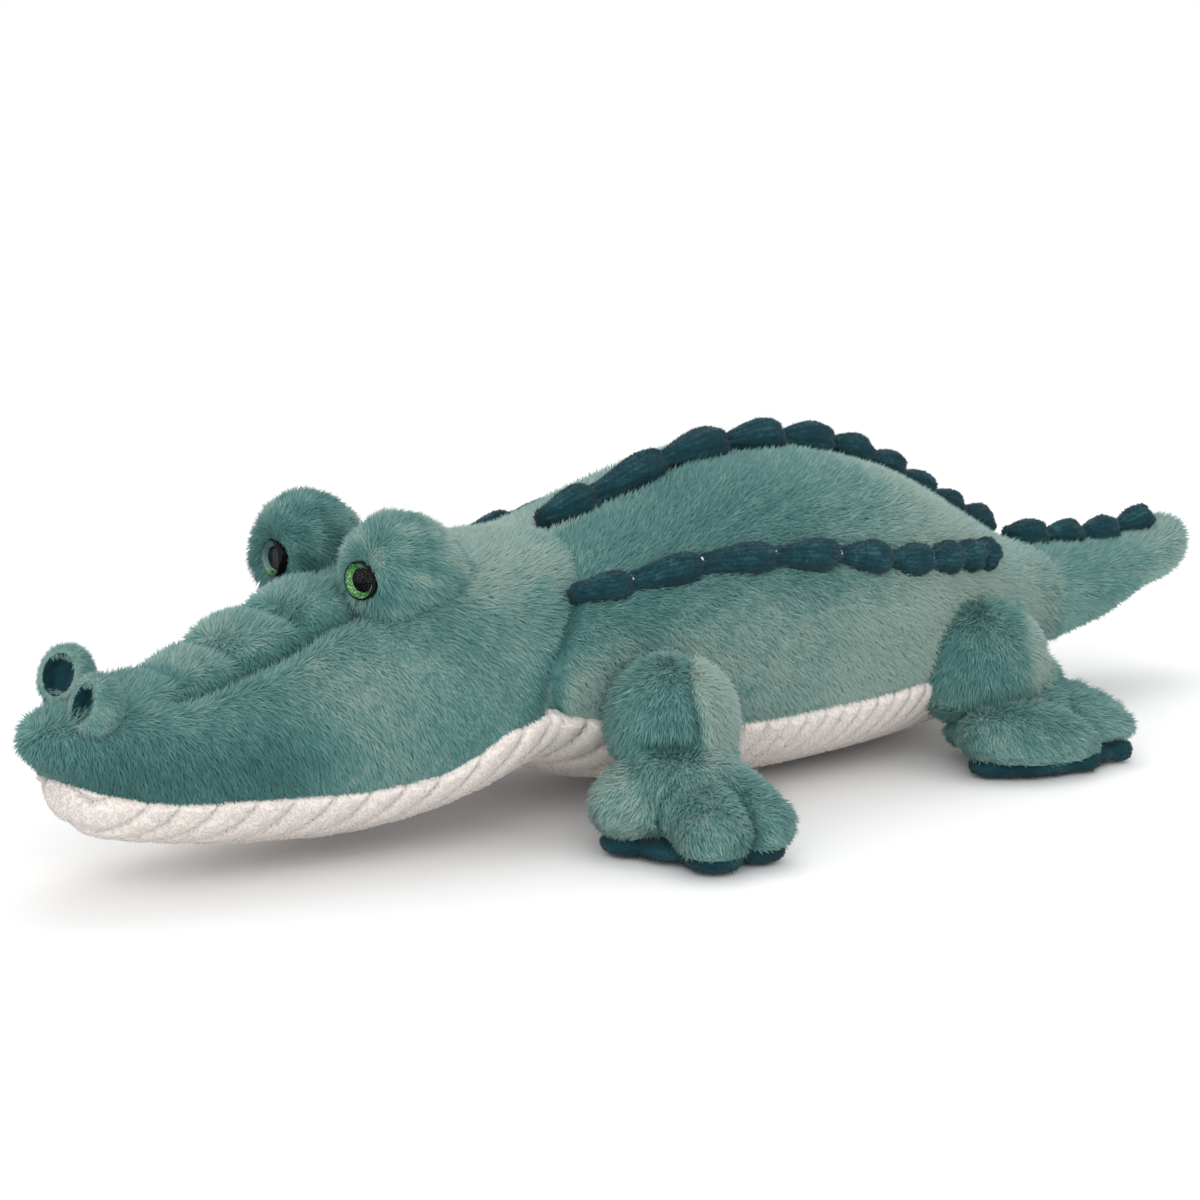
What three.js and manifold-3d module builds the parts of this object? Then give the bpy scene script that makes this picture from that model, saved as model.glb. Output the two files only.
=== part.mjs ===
// A plush crocodile, 57 cm long, in the pieces that it is sewn from: plush covers with their
// fibre fillings, jaw and belly panels, quilted snout, gathered ridges, padded feet with three
// toes and moulded eyes with their locking washers.
// Millimetres. +Z is up, the snout points along -Y and the crocodile's left is +X. The origin is on
// the floor under the middle of the whole toy.
import * as THREE from "three";
import { mergeVertices } from "three/addons/utils/BufferGeometryUtils.js";
import Module from "manifold-3d";

const wasm = await Module();
wasm.setup();
const { Manifold, Mesh } = wasm;

// Driving sizes of the whole toy
const headLength = 222; // snout tip to the top of the neck seam
const bodyLength = 245; // top of the neck seam to the top of the tail seam
const tailLength = 100; // top of the tail seam to the tail tip
const bodyHalfWidth = 68;
const bodyDepth = 114; // belly to the top of the back, without the ridge
const bellyClearance = 4; // floor to the belly
const headHalfWidth = 56;
const headDepth = 96; // chin to the crown
const chinClearance = 9; // floor to the chin
const tailHalfWidth = 34; // just inside the tail seam
const tailDepth = 50; // underside to top, just inside the tail seam
const tailClearance = 20; // floor to the underside of the tail at its root

// Cloth, and the gaps between sewn pieces
const coverThickness = 2.6; // plush cloth with its pile pressed flat
const seamGap = 0.3; // between pieces that touch
const cutOverrun = 30; // how far a cutting solid runs past what it cuts

// Places along the toy
const snoutTipY = -(headLength + bodyLength + tailLength) / 2;
const neckY = snoutTipY + headLength;
const tailSeamY = neckY + bodyLength;

// The seams that turn: the back of the head and the end of the body are round in plan
const neckSeamRadius = 56.5;
const neckRimSetback = 22; // the body's rim starts this far behind the middle of the neck's turn
const tailSeamRadius = 46;
const neckTurnY = neckY - neckSeamRadius;
const tailTurnY = tailSeamY - tailSeamRadius;

// Legs: a foot stands further out and back than the middle of its shoulder or thigh, and points outward
const shoulderOverhang = 6; // from the widest line of the body out to the middle of a shoulder
const shoulderLead = 5; // from the top of the neck seam forward to the middle of a shoulder
const thighInset = 6; // from the widest line of the body in to the middle of a thigh
const thighSetback = 83; // from the top of the tail seam forward to the middle of a thigh
const frontHip = {
  x: bodyHalfWidth + shoulderOverhang,
  y: neckY - shoulderLead,
  height: 68,
  radius: 25,
  footOut: 9.5,
  footBack: 1,
  footSwell: 10.5,
  turn: 0.95,
};
const rearHip = {
  x: bodyHalfWidth - thighInset,
  y: tailSeamY - thighSetback,
  height: 61,
  radius: 26,
  footOut: 13,
  footBack: 9.5,
  footSwell: 1.5,
  turn: 2,
};
const hipHeight = 42; // floor to the axis that the legs swing on
const legSwing = 0.2; // radians either way
const toeReach = 14;
const toeCount = 3;
const toeSpread = 0.72; // radians from one toe to the next
const soleThickness = 5;
const soleRound = 1.6;

// Ridges of gathered velour
const ridgeRadius = 5.2; // of a bulb over the shoulders
const ridgeGrowth = 1.1; // how much larger a bulb is at the tail seam
const sideRidgeReach = 59; // from the middle of the back to a side ridge, where the back is widest
const spineBulbs = 10;
const sideBulbs = 8;
const tailBulbs = 4;

// Quilted snout
const bridgeHalfWidth = 19;
const bridgeThickness = 6; // how far it stands over the head
const bridgeFrontThickness = 1.5; // the same at its front end
const bridgeLength = 92;
const bridgeSetback = 34; // snout tip to the front of the bridge
const bridgeQuilts = 4;

// Eye mounds and eyes
const moundSpacing = 52; // between the middles of the two mounds
const moundSetback = 136.5; // snout tip to the middle of a mound
const moundHeight = 102; // floor to the middle of a mound
const moundHalfWidth = 18;
const moundHalfLength = 22;
const moundHalfHeight = 20;
const eyeRadius = 7;
const eyeBulge = 4.4; // how far the dome stands out
const eyeRimThickness = 1.4;
const irisThickness = 0.7;
const eyePostRadius = 2.1;
const eyePostLength = 12;
const eyePostFins = 2;
const finDepth = 0.5;
const eyeTurn = 0.36; // radians that the eyes look outward
const eyeSeatTurn = 0.12; // radians outward from the front of a mound to the eye's seat
const eyeSink = 4; // how deep the eye's rim sits in the mound
const washerRadius = 6.5;
const washerThickness = 1.4;
const washerLip = 1;

// Nostril hoods
const nostrilSpacing = 22;
const nostrilSetback = 24; // snout tip to the middle of a hood
const nostrilHeight = 72; // floor to the middle between the hoods
const nostrilLean = 6; // how much lower the left hood is sewn on than the right one
const nostrilRadius = 9;
const nostrilMouthRadius = 5;
const nostrilDepth = 5;
const nostrilTilt = 0.35; // radians that the mouth of a hood looks up
const liningThickness = 1.4;

// Sections of the body, from the neck (0) to the tail seam (1):
// place, half width, top, underside and height of the widest line
const bodyShares = [
  [-0.24, 0.81, 0.85, 0.2, 0.46],
  [-0.1, 0.84, 0.855, 0.165, 0.45],
  [0, 0.88, 0.87, 0.09, 0.44],
  [0.12, 0.96, 0.925, 0.03, 0.42],
  [0.28, 1, 0.99, 0, 0.4],
  [0.43, 1, 1, 0, 0.39],
  [0.57, 0.96, 0.95, 0.01, 0.39],
  [0.69, 0.87, 0.845, 0.03, 0.38],
  [0.79, 0.74, 0.72, 0.07, 0.38],
  [0.87, 0.6, 0.62, 0.12, 0.37],
  [0.94, 0.49, 0.56, 0.15, 0.36],
  [1.03, 0.42, 0.525, 0.175, 0.36],
];

// Sections of the head, from the snout tip (0) to the neck (1)
const headShares = [
  [0, 0.07, 0.535, 0.445, 0.49],
  [0.012, 0.18, 0.57, 0.375, 0.475],
  [0.035, 0.3, 0.605, 0.28, 0.455],
  [0.075, 0.42, 0.63, 0.185, 0.43],
  [0.14, 0.55, 0.65, 0.11, 0.4],
  [0.27, 0.67, 0.66, 0.06, 0.365],
  [0.38, 0.76, 0.725, 0.03, 0.35],
  [0.49, 0.86, 0.82, 0.01, 0.35],
  [0.6, 0.95, 0.91, 0.02, 0.375],
  [0.71, 1, 0.98, 0.065, 0.4],
  [0.82, 0.99, 1, 0.15, 0.43],
  [0.93, 0.95, 0.995, 0.21, 0.45],
  [1.03, 0.92, 0.97, 0.23, 0.46],
];

// Sections of the tail, from its seam (0) to its tip (1)
const tailShares = [
  [-0.4, 0.98, 0.99, 0, 0.42],
  [-0.1, 0.9, 0.9, 0.06, 0.44],
  [0.1, 0.82, 0.84, 0.12, 0.46],
  [0.3, 0.72, 0.79, 0.18, 0.48],
  [0.5, 0.61, 0.77, 0.28, 0.51],
  [0.7, 0.5, 0.785, 0.37, 0.57],
  [0.85, 0.44, 0.835, 0.43, 0.63],
  [0.93, 0.36, 0.855, 0.5, 0.68],
  [0.98, 0.21, 0.825, 0.58, 0.7],
  [1, 0.05, 0.755, 0.68, 0.715],
];

// Rings of a leg from the floor up: height, radius, swell of the foot, length of the toes, and how far
// in it has come from the foot
const footShares = [
  [0.075, 0.88, 0.75, 0.6, 0],
  [0.14, 0.98, 0.95, 0.92, 0],
  [0.26, 0.98, 1, 1, 0],
  [0.37, 0.98, 0.68, 0.85, 0.1],
  [0.47, 0.98, 0.32, 0.35, 0.45],
  [0.56, 0.98, 0, 0, 0.85],
];
const limbShares = [
  [0.56, 0.98, 0, 0, 0.85],
  [0.64, 1.01, 0, 0, 1],
  [0.76, 0.99, 0, 0, 1],
  [0.87, 0.86, 0, 0, 1],
  [0.955, 0.6, 0, 0, 1],
  [1, 0.2, 0, 0, 1],
];

// Heights of the seams between plush and ribbed cloth, as shares of the depth of head and body
const lipShares = [
  [0, 0.4],
  [0.05, 0.36],
  [0.14, 0.315],
  [0.27, 0.27],
  [0.4, 0.24],
  [0.53, 0.225],
  [0.62, 0.24],
  [0.7, 0.3],
  [0.8, 0.37],
  [0.9, 0.42],
  [1.1, 0.44],
];
const bellySeamShares = [
  [-0.4, 0.38],
  [-0.1, 0.37],
  [0.02, 0.32],
  [0.12, 0.26],
  [0.3, 0.245],
  [0.55, 0.26],
  [0.75, 0.25],
  [0.92, 0.25],
  [1.1, 0.26],
];

// Where the ridges run: place along the part, and reach from its middle
const sideRidgeShares = [
  [-0.1, 0.735],
  [0.02, 0.775],
  [0.13, 0.85],
  [0.26, 0.945],
  [0.42, 1],
  [0.525, 1],
  [0.616, 0.945],
  [0.7, 0.85],
  [0.775, 0.72],
];
const spineRidgeShares = [
  [0.02, 0],
  [0.97, 0],
];
const tailRidgeShares = [
  [0.005, 0],
  [0.79, 0],
];
const ridgeHurryShare = 0.3; // how much longer the first bulbs are than the middle ones
const lookShare = 0.01; // of a ridge's way, to either side, for the direction that it runs in
const ridgeSeatShare = 0.55; // of a bulb's radius, from the cloth out to its middle

// A bulb of a ridge: place along it and thickness
const bulbShares = [
  [0, 0.42],
  [0.34, 0.86],
  [0.7, 1],
  [1, 0.42],
];
const quiltWaistShare = 0.86; // of the bridge's width at a row of quilting
const quiltDipShare = 0.55; // of the bridge's height at a row of quilting
const bridgeSlopeShare = 0.4; // of the bridge's length, over which it rises to its full thickness
const hoodFaceShare = 0.62; // of a hood's radius, from its middle to its mouth

// Fineness of the rounded forms
const sectionBulge = 2.25; // exponent of the rounded sections
const snoutCrowding = 1.7; // exponent that draws the head's rings toward the snout tip
const tailCrowding = 1.5; // exponent that draws the tail's rings toward its tip
const toeRoundness = 0.7; // exponent of the lobes round a foot
const quiltRoundness = 0.6; // exponent of the puffs of the bridge
const outerFineness = { sides: 28, rings: 16 };
const tailFineness = { sides: 20, rings: 9 };
const innerFineness = { sides: 12, rings: 8 };
const turnSides = 48;
const backSides = 128; // of the section that places the ridges on the back
const ballFineness = { around: 14, over: 9 };
const limbSides = 16;
const fillingSides = 10;
const ridgeSides = 8;
const bridgeFineness = { sides: 16, stepsPerQuilt: 4 };
const stepsPerToe = 6;
const heelSteps = 7;
const eyeSides = 16;
const domeSteps = 4;

// Colours
const tealPlush = 0x5b837f;
const deepVelour = 0x234348;
const creamCloth = 0xd9d3c9;
const polyesterFibre = 0xf1f0ec;
const irisGreen = 0x2f8a35;
const clearPlastic = 0x101414;
const whiteNylon = 0xe6e6e2;

// Smooth reading of a table whose first column is a place and whose other columns are values there
function readTable(table, place) {
  const last = table.length - 1;
  const at = Math.min(Math.max(place, table[0][0]), table[last][0]);
  const k = Math.max(table.findLastIndex((row, i) => i < last && row[0] <= at), 0);
  const [from, to] = [table[k], table[k + 1]];
  const before = table[Math.max(k - 1, 0)];
  const after = table[Math.min(k + 2, last)];
  const span = to[0] - from[0];
  const t = (at - from[0]) / span;
  return from.slice(1).map((value, i) => {
    const end = to[i + 1];
    const slopeFrom = ((end - before[i + 1]) / (to[0] - before[0])) * span;
    const slopeTo = ((after[i + 1] - value) / (after[0] - from[0])) * span;
    return (
      value * (2 * t ** 3 - 3 * t ** 2 + 1) +
      end * (3 * t ** 2 - 2 * t ** 3) +
      slopeFrom * (t ** 3 - 2 * t ** 2 + t) +
      slopeTo * (t ** 3 - t ** 2)
    );
  });
}

// A merged geometry as a solid, turned right side out
function solidOf(geometry) {
  const bare = geometry.clone();
  bare.deleteAttribute("normal");
  bare.deleteAttribute("uv");
  const merged = mergeVertices(bare);
  const triVerts = new Uint32Array(merged.index.array);
  const vertProperties = new Float32Array(merged.attributes.position.array);
  const made = new Manifold(new Mesh({ numProp: 3, vertProperties, triVerts }));
  if (made.volume() > 0) return made;
  for (let i = 0; i < triVerts.length; i += 3) {
    [triVerts[i + 1], triVerts[i + 2]] = [triVerts[i + 2], triVerts[i + 1]];
  }
  return new Manifold(new Mesh({ numProp: 3, vertProperties, triVerts }));
}

// A closed solid through rings of points, all with the same number of points
function solidThrough(rings, placed = new THREE.Matrix4()) {
  const sides = rings[0].length;
  const last = rings.length - 1;
  const points = rings.flat().map((point) => point.clone().applyMatrix4(placed));
  const faces = [];
  for (let ring = 0; ring < last; ring += 1) {
    for (let side = 0; side < sides; side += 1) {
      const a = ring * sides + side;
      const b = ring * sides + ((side + 1) % sides);
      faces.push(a, b, b + sides, a, b + sides, a + sides);
    }
  }
  const end = last * sides;
  for (let side = 1; side < sides - 1; side += 1) {
    faces.push(0, side + 1, side, end, end + side, end + side + 1);
  }
  const geometry = new THREE.BufferGeometry().setFromPoints(points);
  geometry.setIndex(faces);
  return solidOf(geometry);
}

function solidFrom(geometry, placed) {
  return solidOf(geometry.clone().applyMatrix4(placed));
}

function movedTo(x, y, z) {
  return new THREE.Matrix4().makeTranslation(x, y, z);
}

// A solid turned round an upright axis from half its outline, as pairs of radius and height
function turned(outline, sides, placed) {
  const points = outline.map(([radius, height]) => new THREE.Vector2(radius, height));
  return solidFrom(new THREE.LatheGeometry(points, sides), placed);
}

function ellipsoid(halfSizes, placed, grow = 0) {
  const unit = new THREE.SphereGeometry(1, ballFineness.around, ballFineness.over);
  const sized = unit.scale(halfSizes.x + grow, halfSizes.y + grow, halfSizes.z + grow);
  return solidFrom(sized, placed);
}

function joined(solids) {
  return solids.reduce((whole, solid) => whole.add(solid));
}

// Body, head and tail: rounded sections along Y
const bodyPart = {
  shares: bodyShares,
  startY: neckY,
  length: bodyLength,
  halfWidth: bodyHalfWidth,
  clearance: bellyClearance,
  depth: bodyDepth,
  fineness: outerFineness,
};
const headPart = {
  shares: headShares,
  startY: snoutTipY,
  length: headLength,
  halfWidth: headHalfWidth,
  clearance: chinClearance,
  depth: headDepth,
  fineness: outerFineness,
  tip: "first",
};
const tailPart = {
  shares: tailShares,
  startY: tailSeamY,
  length: tailLength,
  halfWidth: tailHalfWidth,
  clearance: tailClearance,
  depth: tailDepth,
  fineness: tailFineness,
  tip: "last",
};

// The rounded section of a part at one place; grow moves its surface out or in
function sectionAt(part, place, sides, grow) {
  const [width, top, bottom, middle] = readTable(part.shares, place);
  const y = part.startY + place * part.length;
  const heightOf = (share) => part.clearance + share * part.depth;
  const middleZ = heightOf(middle);
  const half = Math.max(width * part.halfWidth + grow, seamGap);
  const up = Math.max(heightOf(top) - middleZ + grow, seamGap);
  const down = Math.max(middleZ - heightOf(bottom) + grow, seamGap);
  const round = (value) => Math.sign(value) * Math.abs(value) ** (2 / sectionBulge);
  return Array.from({ length: sides }, (_, i) => {
    const angle = (2 * Math.PI * i) / sides;
    const rise = round(Math.sin(angle));
    return new THREE.Vector3(half * round(Math.cos(angle)), y, middleZ + rise * (rise > 0 ? up : down));
  });
}

// Rings along a part, closer together toward a rounded tip
function ringsOf(part, fineness, grow) {
  const { sides, rings } = fineness;
  const first = part.shares[0][0];
  const last = part.shares[part.shares.length - 1][0];
  return Array.from({ length: rings }, (_, i) => {
    const t = i / (rings - 1);
    const eased = { first: t ** snoutCrowding, last: 1 - (1 - t) ** tailCrowding }[part.tip] ?? t;
    const ring = sectionAt(part, first + (last - first) * eased, sides, grow);
    const pushed = { first: i === 0 ? -grow : 0, last: i === rings - 1 ? grow : 0 }[part.tip] ?? 0;
    ring.forEach((point) => point.setY(point.y + pushed));
    return ring;
  });
}

function plushSolid(part, { fineness = part.fineness, grow = 0, placed } = {}) {
  return solidThrough(ringsOf(part, fineness, grow), placed);
}

// Drums that the seams turn on, and the whole space on one side of a place along the toy
function drumAt(y, radius) {
  const height = 2 * (bellyClearance + bodyDepth + cutOverrun);
  const upright = new THREE.CylinderGeometry(radius, radius, height, turnSides).rotateX(Math.PI / 2);
  return solidFrom(upright, movedTo(0, y, 0));
}

function spaceBeyond(y, toward) {
  const reach = headLength + bodyLength + tailLength;
  const box = new THREE.BoxGeometry(reach, reach, reach);
  return solidFrom(box, movedTo(0, y + (toward * reach) / 2, 0));
}

const behindNeckSeam = spaceBeyond(neckTurnY, 1).subtract(drumAt(neckTurnY, neckSeamRadius));
const beforeNeckSeam = drumAt(neckTurnY, neckSeamRadius + seamGap)
  .add(spaceBeyond(neckTurnY + neckRimSetback, -1));
const behindTailSeam = spaceBeyond(tailTurnY, 1).subtract(drumAt(tailTurnY, tailSeamRadius));
const beforeTailSeam = drumAt(tailTurnY, tailSeamRadius + seamGap).add(spaceBeyond(tailTurnY, -1));

const trimBody = (solid) => solid.subtract(beforeNeckSeam).subtract(behindTailSeam);
const trimHead = (solid) => solid.subtract(behindNeckSeam);
const trimTail = (solid) => solid.subtract(beforeTailSeam);

// Everything under a seam line that is given as heights along a part
function underSeam(part, seamShares, grow) {
  const wide = part.halfWidth + cutOverrun;
  const low = -cutOverrun;
  const rings = seamShares.map(([place, share], i) => {
    const past = i === 0 ? -cutOverrun : 0;
    const y = part.startY + place * part.length + past;
    const high = part.clearance + share * part.depth + grow;
    const corners = [[-wide, low], [wide, low], [wide, high], [-wide, high]];
    return corners.map(([x, z]) => new THREE.Vector3(x, y, z));
  });
  return solidThrough(rings);
}

// A cover, its ribbed underside and its filling
function dressed(part, trim, seamShares) {
  const hollow = plushSolid(part, { fineness: innerFineness, grow: -coverThickness });
  const inside = plushSolid(part, { fineness: innerFineness, grow: -coverThickness - seamGap });
  const shell = trim(plushSolid(part)).subtract(hollow);
  const filling = trim(inside);
  if (!seamShares) return { cover: shell, filling };
  return {
    cover: shell.subtract(underSeam(part, seamShares, seamGap)),
    panel: shell.intersect(underSeam(part, seamShares, 0)),
    filling,
  };
}

const body = dressed(bodyPart, trimBody, bellySeamShares);
const head = dressed(headPart, trimHead, lipShares);
const tail = dressed(tailPart, trimTail);
const grownBody = plushSolid(bodyPart, { grow: seamGap });
const grownHead = plushSolid(headPart, { grow: seamGap });
const grownTail = plushSolid(tailPart, { grow: seamGap });

// The angles round a foot: close together over the toes
const toeSector = (toeCount / 2) * toeSpread;
const toeSteps = stepsPerToe * toeCount;
const footAngles = [
  ...Array.from({ length: toeSteps }, (_, i) => -toeSector + (2 * toeSector * i) / toeSteps),
  ...Array.from({ length: heelSteps }, (_, i) => toeSector + (2 * (Math.PI - toeSector) * i) / heelSteps),
];
const evenAngles = (sides) => Array.from({ length: sides }, (_, i) => (2 * Math.PI * i) / sides);

// The outline of a leg at one height, with rounded toes on the side that the foot points to
function legRing(hip, side, row, angles, grow) {
  const [height, radius, swell, toes, come] = row;
  const centreX = hip.x + hip.footOut * (1 - come);
  const centreY = hip.y + hip.footBack * (1 - come);
  const base = Math.max(radius * hip.radius + swell * hip.footSwell + grow, seamGap);
  return angles.map((angle) => {
    const inToes = Math.abs(angle) <= toeSector;
    const lobe = inToes ? Math.abs(Math.cos((angle / toeSpread) * Math.PI)) ** toeRoundness : 0;
    const reach = base + toes * toeReach * lobe;
    const x = centreX + reach * Math.sin(hip.turn + angle);
    const y = centreY - reach * Math.cos(hip.turn + angle);
    return new THREE.Vector3(side * x, y, height * hip.height);
  });
}

function footSolid(hip, side) {
  return solidThrough(footShares.map((row) => legRing(hip, side, row, footAngles, 0)));
}

function limbSolid(hip, side) {
  return solidThrough(limbShares.map((row) => legRing(hip, side, row, evenAngles(limbSides), 0)));
}

// The room inside a leg and its foot, without toes
function legInside(hip, side, grow) {
  const rows = [...footShares.slice(0, -1), ...limbShares.slice(0, -1)];
  const rings = rows.map(([height, radius, swell, , come]) => (
    legRing(hip, side, [height, radius, swell, 0, come], evenAngles(fillingSides), grow)
  ));
  rings[0].forEach((point) => point.setZ(soleThickness + seamGap));
  rings[rings.length - 1].forEach((point) => point.setZ(point.z + grow));
  return solidThrough(rings);
}

function soleSolid(hip, side) {
  const levels = [[0, -soleRound], [soleRound, 0], [soleThickness - seamGap, 0]];
  return solidThrough(levels.map(([z, grow]) => (
    legRing(hip, side, footShares[0], footAngles, grow).map((point) => point.setZ(z))
  )));
}

// The body as a leg meets it anywhere in its swing
function bodySweptFor(hip) {
  const toHip = movedTo(0, hip.y, hipHeight);
  const fromHip = movedTo(0, -hip.y, -hipHeight);
  const swings = [-1, -0.5, 0, 0.5, 1].map((part) => part * legSwing);
  return joined(swings.map((swing) => plushSolid(bodyPart, {
    grow: seamGap,
    placed: toHip.clone().multiply(new THREE.Matrix4().makeRotationX(swing)).multiply(fromHip),
  })));
}

function makeLeg(hip, side) {
  const swept = bodySweptFor(hip);
  const hollow = legInside(hip, side, -coverThickness);
  const ankle = solidFrom(
    new THREE.BoxGeometry(4 * hip.radius, 4 * hip.radius, seamGap),
    movedTo(side * hip.x, hip.y, limbShares[0][0] * hip.height),
  );
  const overSole = solidFrom(
    new THREE.BoxGeometry(6 * hip.radius, 6 * hip.radius, 2 * soleThickness),
    movedTo(side * hip.x, hip.y, 0),
  );
  return {
    limb: limbSolid(hip, side).subtract(hollow).subtract(swept).subtract(ankle),
    foot: footSolid(hip, side).subtract(hollow).subtract(swept).subtract(ankle).subtract(overSole),
    sole: soleSolid(hip, side).subtract(swept),
    filling: legInside(hip, side, -coverThickness - seamGap).subtract(swept),
  };
}

// A point on top of a part at a given reach from its middle, with the way out of the cloth
function onBack(part, place, reach) {
  const section = sectionAt(part, place, backSides, 0).slice(0, backSides / 2);
  const after = Math.max(section.findIndex((point) => point.x <= reach), 1);
  const [a, b] = [section[after - 1], section[after]];
  const point = a.clone().lerp(b, (a.x - reach) / (a.x - b.x));
  const along = a.clone().sub(b);
  return { point, up: new THREE.Vector3(-along.z, 0, along.x).normalize() };
}

// A row of gathered bulbs, each narrow in front and full behind, along a way over a part
function ridgeSolid(part, wayShares, side, bulbs, radiusAt) {
  const steps = bulbShares.length - 1;
  const first = wayShares[0][0];
  const run = wayShares[wayShares.length - 1][0] - first;
  const whereAt = (along) => {
    const eased = along * (1 + ridgeHurryShare * (1 - along));
    const place = first + run * eased;
    const [reach] = readTable(wayShares, place);
    const { point, up } = onBack(part, place, side * reach * sideRidgeReach);
    return { point: point.addScaledVector(up, ridgeSeatShare * radiusAt(along)), up };
  };
  const rings = [];
  for (let bulb = 0; bulb < bulbs; bulb += 1) {
    for (let step = bulb === 0 ? 0 : 1; step <= steps; step += 1) {
      const [inBulb, thickness] = bulbShares[step];
      const along = (bulb + inBulb) / bulbs;
      const { point, up } = whereAt(along);
      const next = whereAt(Math.min(along + lookShare, 1)).point;
      const ahead = next.sub(whereAt(Math.max(along - lookShare, 0)).point);
      const across = new THREE.Vector3().crossVectors(ahead, up).normalize();
      const square = new THREE.Vector3().crossVectors(across, ahead).normalize();
      const radius = thickness * radiusAt(along);
      rings.push(evenAngles(ridgeSides).map((angle) => point.clone()
        .addScaledVector(across, radius * Math.cos(angle))
        .addScaledVector(square, radius * Math.sin(angle))));
    }
  }
  return solidThrough(rings);
}

const bodyBulbRadius = (along) => ridgeRadius + ridgeGrowth * along;
const tailBulbRadius = (along) => ridgeRadius + ridgeGrowth * (1 - along);

function sideRidge(side) {
  const row = ridgeSolid(bodyPart, sideRidgeShares, side, sideBulbs, bodyBulbRadius);
  return trimBody(row.subtract(grownBody));
}

function spineRidge() {
  const row = ridgeSolid(bodyPart, spineRidgeShares, 0, spineBulbs, bodyBulbRadius);
  return trimBody(row.subtract(grownBody));
}

function tailRidge() {
  const row = ridgeSolid(tailPart, tailRidgeShares, 0, tailBulbs, tailBulbRadius);
  return trimTail(row.subtract(grownTail));
}

// The quilted bridge of the snout, drawn in at each row of quilting
function bridgeSolid(grow = 0) {
  const ringCount = bridgeQuilts * bridgeFineness.stepsPerQuilt + 1;
  const rings = Array.from({ length: ringCount }, (_, k) => {
    const along = k / (ringCount - 1);
    const puff = Math.abs(Math.sin(Math.PI * along * bridgeQuilts)) ** quiltRoundness;
    const { point } = onBack(headPart, (bridgeSetback + along * bridgeLength) / headLength, 0);
    const half = bridgeHalfWidth * (quiltWaistShare + (1 - quiltWaistShare) * puff) + grow;
    const risen = Math.min(along / bridgeSlopeShare, 1);
    const full = bridgeFrontThickness + (bridgeThickness - bridgeFrontThickness) * risen;
    const rise = full * (quiltDipShare + (1 - quiltDipShare) * puff) + grow;
    return evenAngles(bridgeFineness.sides).map((angle) => {
      const sag = bridgeThickness * Math.cos(angle) ** 2;
      return new THREE.Vector3(half * Math.cos(angle), point.y, point.z + rise * Math.sin(angle) - sag);
    });
  });
  return solidThrough(rings);
}

// Eye mounds
const moundHalfSizes = new THREE.Vector3(moundHalfWidth, moundHalfLength, moundHalfHeight);
const aheadTurned = (side, turn) => new THREE.Vector3(side * Math.sin(turn), -Math.cos(turn), 0);

function moundMiddle(side) {
  return new THREE.Vector3((side * moundSpacing) / 2, snoutTipY + moundSetback, moundHeight);
}

// Stands an upright solid on the front of an eye mound, looking forward and outward
function eyePlace(side) {
  const toSeat = aheadTurned(side, eyeSeatTurn);
  const reach = 1 / toSeat.clone().divide(moundHalfSizes).length() - eyeSink;
  const seat = moundMiddle(side).addScaledVector(toSeat, reach);
  const stand = new THREE.Quaternion();
  stand.setFromUnitVectors(new THREE.Vector3(0, 1, 0), aheadTurned(side, eyeTurn));
  return new THREE.Matrix4().compose(seat, stand, new THREE.Vector3(1, 1, 1));
}

const postHoleRadius = eyePostRadius + seamGap;
const irisSeatDepth = irisThickness + 2 * seamGap;
const roomDepth = 2 * eyePostLength;
const roomHeight = 3 * eyeRadius;

// The clear dome with its pupil and its finned post
function lensSolid(placed) {
  const dome = Array.from({ length: domeSteps }, (_, i) => {
    const angle = (Math.PI / 2) * (i / domeSteps);
    return [eyeRadius * Math.cos(angle), eyeRimThickness + eyeBulge * Math.sin(angle)];
  });
  const finPitch = (eyePostLength - coverThickness) / (eyePostFins + 1);
  const fins = Array.from({ length: eyePostFins }, (_, i) => {
    const low = -eyePostLength + i * finPitch;
    return [[eyePostRadius - finDepth, low], [eyePostRadius, low + finPitch / 2]];
  }).flat();
  const outline = [[0, -eyePostLength], ...fins, [eyePostRadius, 0], [eyeRadius, 0], ...dome];
  return turned([...outline, [0, eyeRimThickness + eyeBulge]], eyeSides, placed);
}

function ringOutline(inner, outer, low, high) {
  return [[inner, low], [outer, low], [outer, high], [inner, high], [inner, low]];
}

function discOutline(radius, low, high) {
  return [[0, low], [radius, low], [radius, high], [0, high]];
}

function washerSolid(placed) {
  const top = -irisSeatDepth - coverThickness - seamGap;
  const low = top - washerThickness;
  const outline = [[postHoleRadius, low], [washerRadius - washerLip, low], [washerRadius, low + washerLip / 2],
    [washerRadius, top], [postHoleRadius, top], [postHoleRadius, low]];
  return turned(outline, eyeSides, placed);
}

function makeEye(side) {
  const placed = eyePlace(side);
  return {
    lens: lensSolid(placed),
    iris: turned(ringOutline(postHoleRadius, eyeRadius, -irisThickness - seamGap, -seamGap), eyeSides, placed),
    washer: washerSolid(placed),
    placed,
  };
}

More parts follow.
